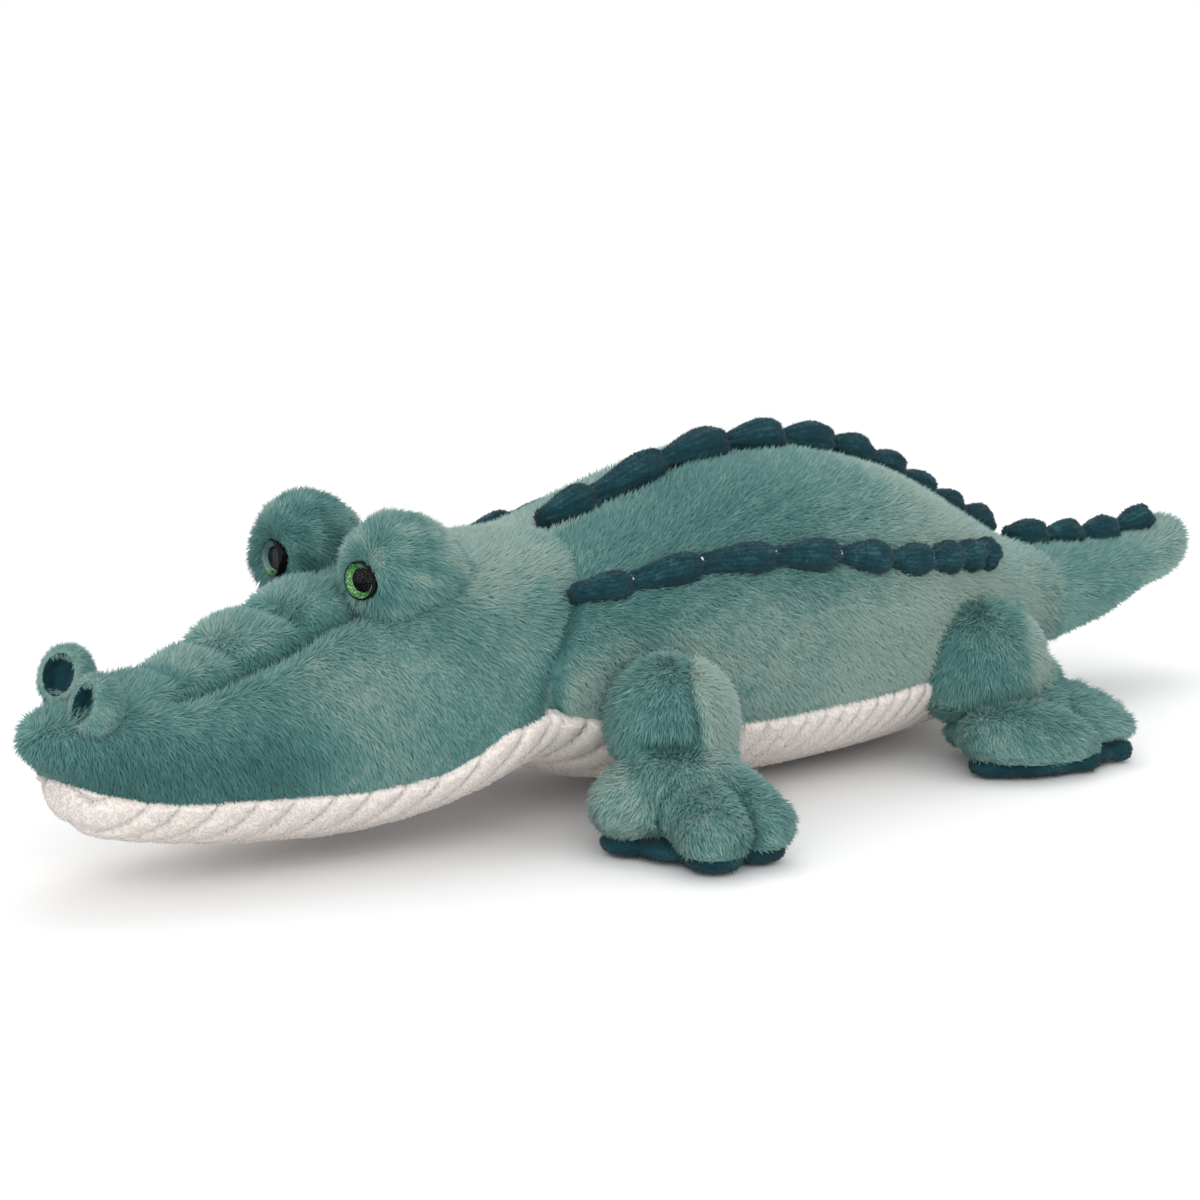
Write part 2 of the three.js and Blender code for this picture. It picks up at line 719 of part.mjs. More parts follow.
// A mound's cover dips to seat the eye, and its post passes through the cloth to the washer
function makeMound(side, placedEye) {
  const middle = moundMiddle(side);
  const placed = movedTo(middle.x, middle.y, middle.z);
  const eyeSized = (radius, low) => turned(discOutline(radius, low, roomHeight), eyeSides, placedEye);
  const dish = eyeSized(eyeRadius + coverThickness, -irisSeatDepth - coverThickness);
  const seat = eyeSized(eyeRadius + seamGap, -irisSeatDepth);
  const postHole = eyeSized(postHoleRadius, -roomDepth);
  const washerRoom = eyeSized(eyeRadius + coverThickness + seamGap, -roomDepth);
  const hollow = ellipsoid(moundHalfSizes, placed, -coverThickness).subtract(dish);
  const outer = ellipsoid(moundHalfSizes, placed).subtract(grownHead);
  const inside = ellipsoid(moundHalfSizes, placed, -coverThickness - seamGap).subtract(grownHead);
  return {
    cover: outer.subtract(hollow).subtract(seat).subtract(postHole),
    filling: inside.subtract(washerRoom),
  };
}

// A hood over a nostril: a short tube of plush with a velour lining that closes it behind
const grownBridge = bridgeSolid(seamGap);

function makeNostril(side) {
  const tilt = new THREE.Matrix4().makeRotationX(Math.PI - nostrilTilt);
  const height = nostrilHeight - (side * nostrilLean) / 2;
  const seat = movedTo((side * nostrilSpacing) / 2, snoutTipY + nostrilSetback, height);
  const placed = seat.multiply(tilt);
  const round = new THREE.Vector3(nostrilRadius, nostrilRadius, nostrilRadius);
  const face = hoodFaceShare * nostrilRadius;
  const mouth = turned(discOutline(nostrilMouthRadius, face - nostrilDepth, 2 * face), eyeSides, placed);
  const beyondFace = turned(discOutline(2 * nostrilRadius, face, 3 * face), eyeSides, placed);
  const outside = nostrilMouthRadius - seamGap;
  const inside = outside - liningThickness;
  const back = face - nostrilDepth + seamGap;
  const lining = [[0, back], [outside, back], [outside, face], [inside, face],
    [inside, back + liningThickness], [0, back + liningThickness]];
  const ball = ellipsoid(round, placed).subtract(beyondFace).subtract(mouth);
  return {
    hood: ball.subtract(grownHead).subtract(grownBridge),
    lining: turned(lining, eyeSides, placed).subtract(grownHead),
  };
}

const croc = new THREE.Group();

function addPiece(name, solid, colour, roughness = 0.95) {
  const mesh = solid.getMesh();
  const geometry = new THREE.BufferGeometry();
  geometry.setAttribute("position", new THREE.BufferAttribute(mesh.vertProperties, mesh.numProp));
  geometry.setIndex(new THREE.BufferAttribute(mesh.triVerts, 1));
  const material = new THREE.MeshStandardMaterial({ color: colour, roughness, metalness: 0 });
  const piece = new THREE.Mesh(geometry, material);
  piece.name = name;
  croc.add(piece);
}

addPiece("body_cover", body.cover, tealPlush);
addPiece("belly_panel", body.panel, creamCloth);
addPiece("body_filling", body.filling, polyesterFibre);
addPiece("spine_ridge", spineRidge(), deepVelour);

addPiece("head_cover", head.cover, tealPlush);
addPiece("jaw_panel", head.panel, creamCloth);
addPiece("head_filling", head.filling, polyesterFibre);
addPiece("snout_bridge", bridgeSolid().subtract(grownHead), tealPlush);

addPiece("tail_cover", tail.cover, tealPlush);
addPiece("tail_filling", tail.filling, polyesterFibre);
addPiece("tail_ridge", tailRidge(), deepVelour);

for (const [hand, side] of [["left", 1], ["right", -1]]) {
  addPiece(`side_ridge_${hand}`, sideRidge(side), deepVelour);

  const eye = makeEye(side);
  const mound = makeMound(side, eye.placed);
  addPiece(`eye_mound_${hand}`, mound.cover, tealPlush);
  addPiece(`eye_mound_filling_${hand}`, mound.filling, polyesterFibre);
  addPiece(`eye_lens_${hand}`, eye.lens, clearPlastic, 0.08);
  addPiece(`eye_iris_${hand}`, eye.iris, irisGreen, 0.4);
  addPiece(`eye_washer_${hand}`, eye.washer, whiteNylon, 0.5);

  const nostril = makeNostril(side);
  addPiece(`nostril_hood_${hand}`, nostril.hood, tealPlush);
  addPiece(`nostril_lining_${hand}`, nostril.lining, deepVelour);

  for (const [end, hip] of [["front", frontHip], ["rear", rearHip]]) {
    const leg = makeLeg(hip, side);
    addPiece(`${end}_leg_cover_${hand}`, leg.limb, tealPlush);
    addPiece(`${end}_foot_cover_${hand}`, leg.foot, tealPlush);
    addPiece(`${end}_sole_${hand}`, leg.sole, deepVelour);
    addPiece(`${end}_leg_filling_${hand}`, leg.filling, polyesterFibre);
  }
}

export default croc;
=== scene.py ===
"""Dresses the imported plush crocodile: furry skins over the stuffed parts, ribbed cream panels, gathered
velour ridges, padded soles, moulded eyes, and the studio that it stands in."""
import math

import bmesh
import bpy
import numpy as np
from mathutils import Matrix, Vector


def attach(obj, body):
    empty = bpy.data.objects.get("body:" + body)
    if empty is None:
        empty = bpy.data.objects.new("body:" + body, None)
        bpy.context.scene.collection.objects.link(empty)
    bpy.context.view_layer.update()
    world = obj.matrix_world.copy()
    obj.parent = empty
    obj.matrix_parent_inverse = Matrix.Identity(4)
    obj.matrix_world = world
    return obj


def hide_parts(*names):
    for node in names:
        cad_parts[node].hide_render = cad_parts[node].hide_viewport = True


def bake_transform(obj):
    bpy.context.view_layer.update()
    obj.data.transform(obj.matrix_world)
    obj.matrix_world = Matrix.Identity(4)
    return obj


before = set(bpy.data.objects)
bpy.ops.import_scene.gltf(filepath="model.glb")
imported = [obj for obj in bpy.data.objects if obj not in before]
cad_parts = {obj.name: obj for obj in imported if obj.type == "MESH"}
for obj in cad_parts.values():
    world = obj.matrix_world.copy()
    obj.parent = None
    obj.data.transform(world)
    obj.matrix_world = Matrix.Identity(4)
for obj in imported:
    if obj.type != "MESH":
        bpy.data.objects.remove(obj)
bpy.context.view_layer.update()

bl_info = {
    "name": "Plush crocodile",
    "version": (1, 0, 0),
    "blender": (4, 5, 0),
    "location": "View3D > Sidebar > Plush",
    "description": "Dresses the packed plush crocodile in fur, ribbed cloth and velour",
    "category": "Object",
}

# Shapes are worked out in millimetres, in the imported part's frame, and become metres in new_piece
MM = 0.001
HANDS = (("left", 1.0), ("right", -1.0))

# The seams that head and tail turn on: an upright axis along Y, and the radius of the seam round it
NECK_TURN_Y, NECK_SEAM_RADIUS = -118.0, 56.5
TAIL_TURN_Y, TAIL_SEAM_RADIUS = 137.5, 46.0

# The stuffed parts: where each starts along Y, its sizes, the seam that it turns on, and the places between
# which its rings come to lie along that seam
BODY = {"start": -61.5, "length": 245.0, "half_width": 68.0, "low": 4.0, "depth": 114.0,
        "turn_y": NECK_TURN_Y, "seam_radius": NECK_SEAM_RADIUS, "sway": (0.4, 0)}
HEAD = {"start": -281.8, "length": 220.3, "half_width": 56.0, "low": 9.0, "depth": 96.0,
        "turn_y": NECK_TURN_Y, "seam_radius": NECK_SEAM_RADIUS, "sway": (0.55, 1)}
TAIL = {"start": 183.5, "length": 92.0, "half_width": 34.0, "low": 20.0, "depth": 50.0,
        "turn_y": TAIL_TURN_Y, "seam_radius": TAIL_SEAM_RADIUS, "sway": (0.4, 0)}
SECTION_BULGE = 2.25  # above 2, a section is squarer than an ellipse
LEAST_RADIUS = 0.3
SKIN_INSET, TAIL_SKIN_INSET = 1.6, 0.6  # the fur makes up for it
SKIN_TUCK = ((0.93, 3.0), (0.72, 5.0), (0.35, 6.0))  # a hidden end closes: its rings' share in size and their reach
SEAM_GROOVE, ROOT_GROOVE = 3.2, 3.5  # half widths of the grooves along the seams at neck and rump
GROOVE_FADE, GROOVE_FADE_SHARE = (70, 92), 0.8  # the neck's groove runs out between these heights

# Sections: place along the part, half width, top, underside and height of the widest line, as shares
BODY["shares"] = [
    [-0.24, 0.81, 0.85, 0.2, 0.46],
    [-0.1, 0.84, 0.84, 0.165, 0.45],
    [0, 0.88, 0.848, 0.09, 0.44],
    [0.12, 0.96, 0.905, 0.03, 0.42],
    [0.28, 1, 0.99, 0, 0.4],
    [0.43, 1, 1, 0, 0.39],
    [0.57, 0.96, 0.95, 0.01, 0.39],
    [0.69, 0.87, 0.845, 0.03, 0.38],
    [0.79, 0.74, 0.72, 0.07, 0.38],
    [0.87, 0.6, 0.62, 0.12, 0.37],
    [0.94, 0.49, 0.56, 0.15, 0.36],
    [1.03, 0.42, 0.525, 0.175, 0.36],
]
HEAD["shares"] = [
    [0, 0.08, 0.51, 0.455, 0.48],
    [0.012, 0.17, 0.55, 0.425, 0.485],
    [0.03, 0.26, 0.58, 0.38, 0.48],
    [0.054, 0.33, 0.6, 0.33, 0.47],
    [0.073, 0.37, 0.617, 0.21, 0.455],
    [0.1, 0.43, 0.635, 0.15, 0.44],
    [0.14, 0.52, 0.65, 0.118, 0.41],
    [0.27, 0.67, 0.66, 0.06, 0.365],
    [0.38, 0.76, 0.725, 0.03, 0.35],
    [0.49, 0.86, 0.82, 0.01, 0.35],
    [0.6, 0.95, 0.91, 0.02, 0.375],
    [0.71, 1, 0.965, 0.065, 0.4],
    [0.82, 0.99, 0.98, 0.15, 0.43],
    [0.93, 0.95, 0.968, 0.21, 0.45],
    [1.03, 0.92, 0.945, 0.23, 0.46],
]
TAIL["shares"] = [
    [-0.4, 0.98, 0.99, 0, 0.42],
    [-0.1, 0.9, 0.9, 0.06, 0.44],
    [0.1, 0.82, 0.84, 0.12, 0.46],
    [0.3, 0.72, 0.79, 0.18, 0.48],
    [0.5, 0.61, 0.77, 0.28, 0.51],
    [0.7, 0.5, 0.785, 0.37, 0.57],
    [0.85, 0.44, 0.835, 0.43, 0.63],
    [0.93, 0.36, 0.855, 0.5, 0.68],
    [0.98, 0.21, 0.825, 0.58, 0.7],
    [1, 0.05, 0.755, 0.68, 0.715],
]

# Heights of the seams between fur and cream cloth, as shares of a part's depth
LIP_SEAM = [[0, 0.38], [0.03, 0.35], [0.054, 0.332], [0.08, 0.31], [0.14, 0.272], [0.27, 0.247], [0.4, 0.228],
            [0.53, 0.23], [0.62, 0.245], [0.7, 0.3], [0.8, 0.37], [0.9, 0.42], [1.1, 0.44]]
BELLY_SEAM = [[-0.4, 0.38], [-0.1, 0.37], [0.02, 0.32], [0.12, 0.26], [0.3, 0.245], [0.55, 0.26], [0.75, 0.235],
              [0.85, 0.2], [0.93, 0.16], [1.1, 0.1]]

# Ribbed panels: the part and the seam that each fills, its first and last place and rows of points, how far back
# a rib runs for each millimetre out from the middle, the count of ribs at places along Y, and the height of the
# ribs as a share of the named one, with what is added towards the throat
JAW = {"part": HEAD, "seam": LIP_SEAM, "first": 0.052, "last": 1.0, "rows": 210, "slant": 0.37, "height": (1.0, 0.0),
       "ribs": [[-330, -6.0], [-283, -1.2], [-272, 0], [-254, 2], [-231, 4], [-205, 6], [-181, 8], [-130, 12],
                [-60, 17.6]]}
BELLY = {"part": BODY, "seam": BELLY_SEAM, "first": -0.2, "last": 0.9, "rows": 250, "slant": 0.15,
         "height": (1.15, 0.5), "ribs": [[-200, -13.2], [-120, -7.6], [-60, -3.4], [-18, 0], [53, 8], [200, 24.5]]}
PANEL_COLUMNS = 97
PANEL_LIFT, PANEL_THICKNESS, PANEL_EDGE_TUCK = 0.4, 3.0, 2.4
THROAT_Y = (-40, -70)
RIB_FULLNESS = 2.4  # the higher, the flatter a rib's back and the narrower the groove beside it

# Quilted bridge of the snout: rows of quilting along Y, and its half width from front to back
BRIDGE_ROWS = [-249.0, -230.0, -207.5, -182.0, -150.0]
BRIDGE_HALF_WIDTHS = (16.0, 21.0)
BRIDGE_BOW, BRIDGE_BOW_AHEAD = 0.012, 2.5  # how much a row bows back at the sides, for each millimetre squared
# How far each form stands out, where it lies outside the bridge's edge and how wide it is, and over which stretch
# it comes up after the first row and dies away at the last
BRIDGE = {"rise": 8.6, "comes": (-3, 6), "goes": (0, -22)}
VALLEY = {"rise": -5.2, "off": 1.0, "width": 2.9, "comes": (2, 22), "goes": (6, -8)}
CHEEK = {"rise": 1.8, "off": 9.5, "width": 6.5, "comes": (10, 40), "goes": (0, -30)}
BRIDGE_EDGE = (0.2, 0.55)  # how far up the head's section, as a sine, it starts

# Ridges: where each cinch lies along Y; the side ridges' reach from the middle of the back
SPINE_CINCHES = [-61.0, -36.0, -3.0, 28.0, 56.0, 81.0, 101.0, 118.0, 134.0, 150.0, 167.0]
SIDE_CINCHES = [-85.0, -60.0, -31.0, -1.0, 28.0, 53.0, 74.0, 92.0, 106.0, 118.0]
TAIL_CINCHES = [178.0, 199.0, 220.0, 241.0, 261.0]
SIDE_REACH = [[-0.1, 43.4], [0.02, 45.7], [0.13, 50.2], [0.26, 55.8], [0.42, 59], [0.525, 59], [0.616, 55.8],
              [0.7, 50.2], [0.775, 42.5]]
BULB = [[0, 0.42], [0.12, 0.52], [0.33, 0.76], [0.55, 0.97], [0.72, 1.04], [0.86, 0.93], [0.95, 0.66], [1, 0.42]]

SPINE_GIRTHS, SIDE_GIRTHS, TAIL_GIRTHS = (6.4, 1.1), (5.1, 0.8), (6.6, -0.6)
RIDGE_STEPS, RIDGE_SIDES = 20, 68  # rings of a bulb, and points of a ring
RIDGE_SEAT = 0.56  # how high a ridge's middle lies above the cloth, as a share of its radius
CINCH_SHARE = 0.3  # the last ring's radius, as a share

# Legs on the crocodile's left: the middle, top and radius of the limb, and each toe from its root to its
# tip, with its radius. A foot lies round the middle of its sole.
FRONT = {
    "hip": (75.5, -65.0), "top": 66.0, "radius": 22.0, "ankle": 39.8,
    "toes": [((81, -68, 27), (79, -87, 17.5), 13.5), ((84, -67, 26), (115, -81, 13), 12.8),
             ((84, -63, 26), (116, -61, 13), 11.8)],
    "taper": [[0, 1.1], [0.5, 1.03], [0.8, 1.0], [1, 0.95]],
    "lumps": [((79.5, -65.3, 35.8), (19.0, 19.0, 17.0)), ((91.0, -71.5, 21.0), (21.0, 20.0, 18.5)),
              ((80.0, -62.0, 20.0), (17.0, 17.0, 17.0)), ((87.0, -76.0, 26.0), (14.5, 14.5, 14.0))],
    "webs": [((92.0, -75.0), 18.0)], "smoothing": 8,
}
REAR = {
    "hip": (62.0, 100.5), "top": 60.5, "radius": 24.5, "ankle": 32.0,
    "toes": [((84, 86, 15), (101, 117.5, 10.5), 13.4), ((68, 108, 20), (99, 138.5, 14.0), 11.8),
             ((64, 114, 19), (87, 146, 15.5), 11.2)],
    "taper": [[0, 0.78], [0.35, 1.02], [0.6, 0.9], [0.85, 0.62], [1, 0.38]],
    "lumps": [((68.0, 104.0, 30.0), (14.0, 14.0, 17.0)), ((66.0, 106.0, 12.0), (14.0, 20.0, 10.0)),
              ((71.0, 118.0, 25.5), (12.5, 12.5, 15.0))],
    "webs": [((80.0, 110.0), 17.0), ((90.0, 127.5), 13.0)], "smoothing": 6,
}
SEAM_WAY = (0.656, 0.755)  # the way, outward and back, that the seam of a leg faces
SOLE_TOP, SOLE_INSET, SOLE_TAPER = 7.5, 2.2, 0.62
LIMB_SEAM_DEPTH, CREASE_DEPTH, TOE_VALLEY_DEPTH = 2.4, 3.0, 2.0

# Eyes and their mounds, nostrils
MOUND_MIDDLE, MOUND_HALF = (26.0, -148.0, 101.5), (15.4, 18.8, 18.2)
BROW_DIMPLES = [((14.0, -3.0, 17.0), 2.4, 4.0), ((14.0, 16.0, -2.0), 2.4, 4.5)]  # from the middle; depth, width
MOUND_TAIL = {1: 19.0, -1: 11.0}  # how far the back of a mound runs out onto the head, as sewn
MOUND_FOOT, MOUND_FOOT_RISE, MOUND_FOOT_WIDTH = (27.0, -130.0, 88.0), 4.5, 17.0  # the head swells under a mound
EYE_RADIUS, EYE_TURN, EYE_SINK, EYE_DROP = 6.8, 0.19, 2.8, 1.8
EYE_SEATS = {1: (0.12, 0.6), -1: (-0.22, 1.4)}  # outward turn and depth: the right eye is sewn nearer the middle
EYE_PUPIL, DOME_RIM, DOME_RISE = 4.2, 0.8, 2.6
NOSTRILS = {1: ((13.5, -264.5, 68.5), 0.12), -1: ((-9.5, -260.0, 74.0), 0.32)}  # middle and inward turn, as sewn
NOSTRIL_TILT, NOSTRIL_TALL = 0.35, 1.14
NOSTRIL_OUTLINE = [(0.6, -7.6), (3.8, -7.2), (6.8, -5.2), (8.5, -2.0), (9.0, 1.0), (8.7, 3.4), (8.0, 4.8),
                   (7.0, 5.2), (6.2, 4.5), (5.8, 1.6), (4.6, -1.0), (0.6, -1.8)]  # radius and height: back, rim, throat
LINING_OUTLINE = [(0.5, -2.0), (4.8, -1.2), (6.0, 1.6), (6.6, 4.3), (6.2, 4.9), (5.7, 3.4), (5.0, 0.8), (3.4, -0.2),
                  (0.5, -0.4)]

# How light the cloth is, from 0 to 1: its plain tone, its unevenness as height, pitch and seed, what else makes it
# lighter or darker, and its shades: how much, and from where outside to where inside along an axis
# Head: valley and rows make painted shade beside the bridge and along its quilting, bridge makes painted light on the
# raised bridge
HEAD_TONE = {"plain": 0.5, "uneven": ((0.08, 45, 5), (0.07, 8, 6)), "valley": -0.2, "rows": -0.5, "bridge": 0.22}
BODY_TONE = {"plain": 0.72, "uneven": ((0.08, 50, 13), (0.1, 5, 14))}
# The tail's tip is painted paler, as painted sheen
TAIL_TONE = {"plain": 0.54, "uneven": ((0.08, 40, 19), (0.07, 8, 20)), "shades": {"tip": (0.26, ("y", 215, 280))}}
# Legs: pale_panel is painted sheen, the feet and toe tips are painted light, and seam, crease and valley are painted
# shade in these grooves
LEG_TONE = {"plain": 0.46, "uneven": ((0.08, 30, 23), (0.1, 5, 24)), "pale_panel": 0.54, "front_foot": 0.08,
            "rear_foot": 0.1, "toe_tips": 0.04, "near_toe": 0.4, "seam": -0.45, "crease": -0.35, "valley": -0.45}
SOLE_TONE = {"plain": 0.4, "uneven": ((0.2, 14, 29),)}
# Ridges: top is painted light, gather is painted shade
RIDGE_TONE = {"plain": 0.28, "uneven": ((0.14, 9, 0), (0.1, 3.2, 1)), "wale": 0.12, "top": 0.2, "gather": -0.2}
# Mounds: far is painted shade, top and back are painted light
MOUND_TONE = {"plain": 0.5, "uneven": ((0.2, 9, 37),), "far": -0.22, "top": 0.14, "back": 0.34}
HOOD_TONE = {"plain": 0.52, "uneven": ((0.12, 8, 41),), "rim": 0.22}
LINING_TONE = {"plain": 0.3, "uneven": ((0.2, 4, 43),)}
HEAD_TONE["shades"] = {
    # Painted sheen on the nape, and painted shade on it beside the near seam
    "nape": (0.4, ("y", -150, -105), ("z", 80, 98)),
    "nape beside the near seam": (-0.2, ("x", 10, 10.01), ("y", -80, -62), ("z", 80, 98)),
    "chops": (-0.42, ("y", -150, -215), ("z", 66, 44)),
    "jowl": (0.27, ("y", -215, -170), ("z", 84, 70)),
    "jowl, to the neck": (-0.216, ("y", -175, -135), ("z", 84, 70)),
}
BODY_TONE["shades"] = {
    "flank": (0.22, ("y", -10, 100)),
    "rump": (-0.3, ("y", 105, 160)),
    # Painted shade on the near side of the back
    "near side of the back": (-0.28, ("x", 0, 0.01), ("y", 110, 40), ("y", -62, -30), ("z", 60, 90)),
    # Painted sheen on the nape
    "nape": (0.28, ("x", 14, 4), ("y", -30, -62), ("z", 78, 96)),
    "low on the side": (0.08, ("z", 90, 60)),
    "low, behind the shoulder": (0.02, ("y", -10, 20), ("z", 90, 60)),
    # Painted shade on the near shoulder and painted light on the far shoulder
    "near shoulder": (-0.34, ("x", 4, 14), ("y", -20, -62), ("z", 60, 80)),
    "far shoulder": (0.25, ("x", 0, -0.01), ("y", -20, -60), ("z", 96, 108)),
}
SEAM_SHADE = -0.75  # along the seam at the neck


def srgb(code):
    """A hex colour as linear red, green, blue and alpha."""
    parts = [int(code[i:i + 2], 16) / 255 for i in (1, 3, 5)]
    return tuple(c / 12.92 if c <= 0.04045 else ((c + 0.055) / 1.055) ** 2.4 for c in parts) + (1.0,)


def length_of(name, millimetres, about):
    return bpy.props.FloatProperty(name=name, description=about, default=millimetres * MM, min=0.0, unit="LENGTH",
                                   precision=5)


def colour_of(name, code, about):
    return bpy.props.FloatVectorProperty(name=name, description=about, default=srgb(code), size=4, min=0.0, max=1.0,
                                         subtype="COLOR")


class CrocSizes(bpy.types.PropertyGroup):
    """Sizes of the fur, the ribs and the seams."""
    fur_length: length_of("Fur length", 4.6, "Length of the short fur on body, head, legs and tail")
    fur_width: length_of("Fur width", 0.76, "Width of a tuft of fur, drawn coarser than a real hair so that it shows")
    fur_density: bpy.props.FloatProperty(name="Fur density", description="Tufts of fur on a square millimetre",
                                         default=2.1, min=0.0)
    velour_length: length_of("Velour length", 1.1, "Length of the pile of ridges and soles")
    cream_length: length_of("Cream pile length", 1.0, "Length of the pile of the ribbed cloth")
    rib_height: length_of("Rib height", 2.5, "Height of the ribs of the cream cloth")
    seam_depth: length_of("Seam depth", 4.0, "How deep a sewn seam draws the cloth in")


class CrocColours(bpy.types.PropertyGroup):
    """Colours of the cloths and the eyes."""
    # The deep and pale fur colours serve the fur's own unevenness, and also painted shade in folds and seams and
    # painted sheen
    fur_deep: colour_of("Fur, deep", "#3f6b68", "Fur where it stands on end or lies in a fold")
    fur: colour_of("Fur", "#629490", "The sea green fur")
    fur_pale: colour_of("Fur, pale", "#a4bcb2", "Fur where the light runs along it")
    velour: colour_of("Velour", "#17414a", "Deep teal velour of ridges, soles and nostrils")
    # The brushed velour colour also serves as painted light on the tops of the ridges
    velour_pale: colour_of("Velour, brushed", "#3d6b74", "The same velour where its pile is brushed")
    cream: colour_of("Cream", "#eae2dc", "Ribbed cream cloth of jaw and belly")
    thread: colour_of("Thread", "#e9ece8", "White thread of the gathers")
    glitter: colour_of("Glitter", "#3fae3c", "Green glitter of the iris")


def sizes():
    return bpy.context.scene.croc_sizes


def colours():
    return bpy.context.scene.croc_colours


# Arithmetic on arrays

def ease(low, high, value):
    t = np.clip((value - low) / (high - low), 0, 1)
    return t * t * (3 - 2 * t)


def bell(distance, width):
    return np.exp(-(distance / width) ** 2)


def read_table(table, place):
    """Smooth reading of a table whose first column is a place and whose other columns are values there."""
    rows = np.array(table, float)
    last = len(rows) - 1
    at = np.clip(np.asarray(place, float), rows[0, 0], rows[-1, 0])
    k = np.clip(np.searchsorted(rows[:, 0], at, side="right") - 1, 0, last - 1)
    low, high, before, after = rows[k], rows[k + 1], rows[np.maximum(k - 1, 0)], rows[np.minimum(k + 2, last)]
    span = (high - low)[..., :1]
    t = (at - low[..., 0])[..., None] / span
    from_slope = (high - before) / (high - before)[..., :1] * span
    to_slope = (after - low) / (after - low)[..., :1] * span
    found = (low * (2 * t**3 - 3 * t**2 + 1) + high * (3 * t**2 - 2 * t**3)
             + from_slope * (t**3 - 2 * t**2 + t) + to_slope * (t**3 - t**2))
    return found[..., 1:]


def wobble(points, pitch, seed):
    """Smooth unevenness between about -1 and 1, alike at each run, with bumps about a pitch apart."""
    rng = np.random.default_rng(seed)
    total = 0
    for _ in range(7):
        way = rng.normal(size=3)
        way *= 2 * math.pi / pitch / np.linalg.norm(way) * rng.uniform(0.6, 1.4)
        total = total + np.sin(points @ way + rng.uniform(0, 2 * math.pi))
    return total / 3.2


def region(points, *limits):
    """1 inside a region and 0 outside it: each limit is an axis, a place outside and a place inside."""
    inside = np.ones(points.shape[:-1])
    for axis, outside, within in limits:
        inside = inside * ease(outside, within, points[..., "xyz".index(axis)])
    return inside


def tone_of(points, look, seed=0):
    """How light the cloth is by its table; a seed is added to those of the table."""
    tone = look["plain"] + sum(height * wobble(points, pitch, seed + own) for height, pitch, own in look["uneven"])
    return tone + sum(amount * region(points, *limits) for amount, *limits in look.get("shades", {}).values())


def unit(vectors):
    return vectors / np.maximum(np.linalg.norm(vectors, axis=-1, keepdims=True), 1e-9)


def angles(count):
    return 2 * np.pi * np.arange(count) / count


# Stuffed parts as grids of rings

def on_part(part, place, angle, grow=0.0):
    """Points on a part's rounded sections. Angle 0 is its left, a quarter turn is its top."""
    width, top, bottom, middle = np.moveaxis(read_table(part["shares"], place), -1, 0)
    middle_z = part["low"] + middle * part["depth"]
    half = np.maximum(width * part["half_width"] + grow, LEAST_RADIUS)
    up = np.maximum(part["low"] + top * part["depth"] - middle_z + grow, LEAST_RADIUS)
    down = np.maximum(middle_z - part["low"] - bottom * part["depth"] + grow, LEAST_RADIUS)
    across, rise = (np.sign(v) * np.abs(v) ** (2 / SECTION_BULGE) for v in (np.cos(angle), np.sin(angle)))
    y = part["start"] + place * part["length"]
    return np.stack([half * across, y, middle_z + rise * np.where(rise > 0, up, down)], -1)


def seam_angle(part, seam, place):
    """The angle on the left of a section where the seam between fur and cream cloth runs."""
    _, top, bottom, middle = np.moveaxis(read_table(part["shares"], place), -1, 0)
    height = read_table(seam, place)[..., 0]
    rise = np.where(height > middle, (height - middle) / (top - middle), (height - middle) / (middle - bottom))
    return np.arcsin(np.clip(np.sign(rise) * np.abs(rise) ** (SECTION_BULGE / 2), -1, 1))


def round_to_seam(part, place, angle, grow):
    """Points whose rings lie more and more along the round seam that the part turns on, towards that seam."""
    radius, sway = part["seam_radius"], ease(*part["sway"], place)
    points = on_part(part, place, angle, grow)
    for _ in range(3):
        reach = np.minimum(np.abs(points[..., 0]), radius - 1)
        back = radius - np.sqrt(radius**2 - reach**2)
        points = on_part(part, place - sway * back / part["length"], angle, grow)
    return points


def from_axis(part, points):
    """How far points lie from the upright axis that the part turns on."""
    return np.hypot(points[..., 0], points[..., 1] - part["turn_y"])


def outward(rings):
    """Normals of a grid of rings, out of the part."""
    along = np.gradient(rings, axis=0)
    across = np.roll(rings, -1, axis=1) - np.roll(rings, 1, axis=1)
    normals = unit(np.cross(across, along))
    middle = rings.mean(axis=1, keepdims=True)
    return normals * np.sign(np.sum(normals * (rings - middle), axis=-1).mean())


def closed_faces(ring_count, sides):
    """Faces of a closed grid of rings with a pole at each end: the poles are the last two points."""
    ring, side = np.meshgrid(np.arange(ring_count - 1), np.arange(sides), indexing="ij")
    a = (ring * sides + side).ravel()
    b = (ring * sides + (side + 1) % sides).ravel()
    quads = np.stack([a, b, b + sides, a + sides], -1).tolist()
    first, last, end = ring_count * sides, ring_count * sides + 1, (ring_count - 1) * sides
    for i in range(sides):
        j = (i + 1) % sides
        quads += [[first, j, i], [last, end + i, end + j]]
    return quads


def new_object(name, mesh, *materials):
    for material in materials:
        mesh.materials.append(material)
    made = bpy.data.objects.new(name, mesh)
    bpy.context.scene.collection.objects.link(made)
    return made


def new_piece(name, points, faces, material):
    """A smooth mesh piece from millimetre points, its faces turned outward."""
    mesh = bpy.data.meshes.new(name)
    mesh.from_pydata((np.asarray(points) * MM).tolist(), [], faces)
    made = bmesh.new()
    made.from_mesh(mesh)
    bmesh.ops.recalc_face_normals(made, faces=made.faces)
    if made.calc_volume(signed=True) < 0:
        bmesh.ops.reverse_faces(made, faces=made.faces)
    made.to_mesh(mesh)
    made.free()
    mesh.shade_smooth()
    return new_object(name, mesh, material)


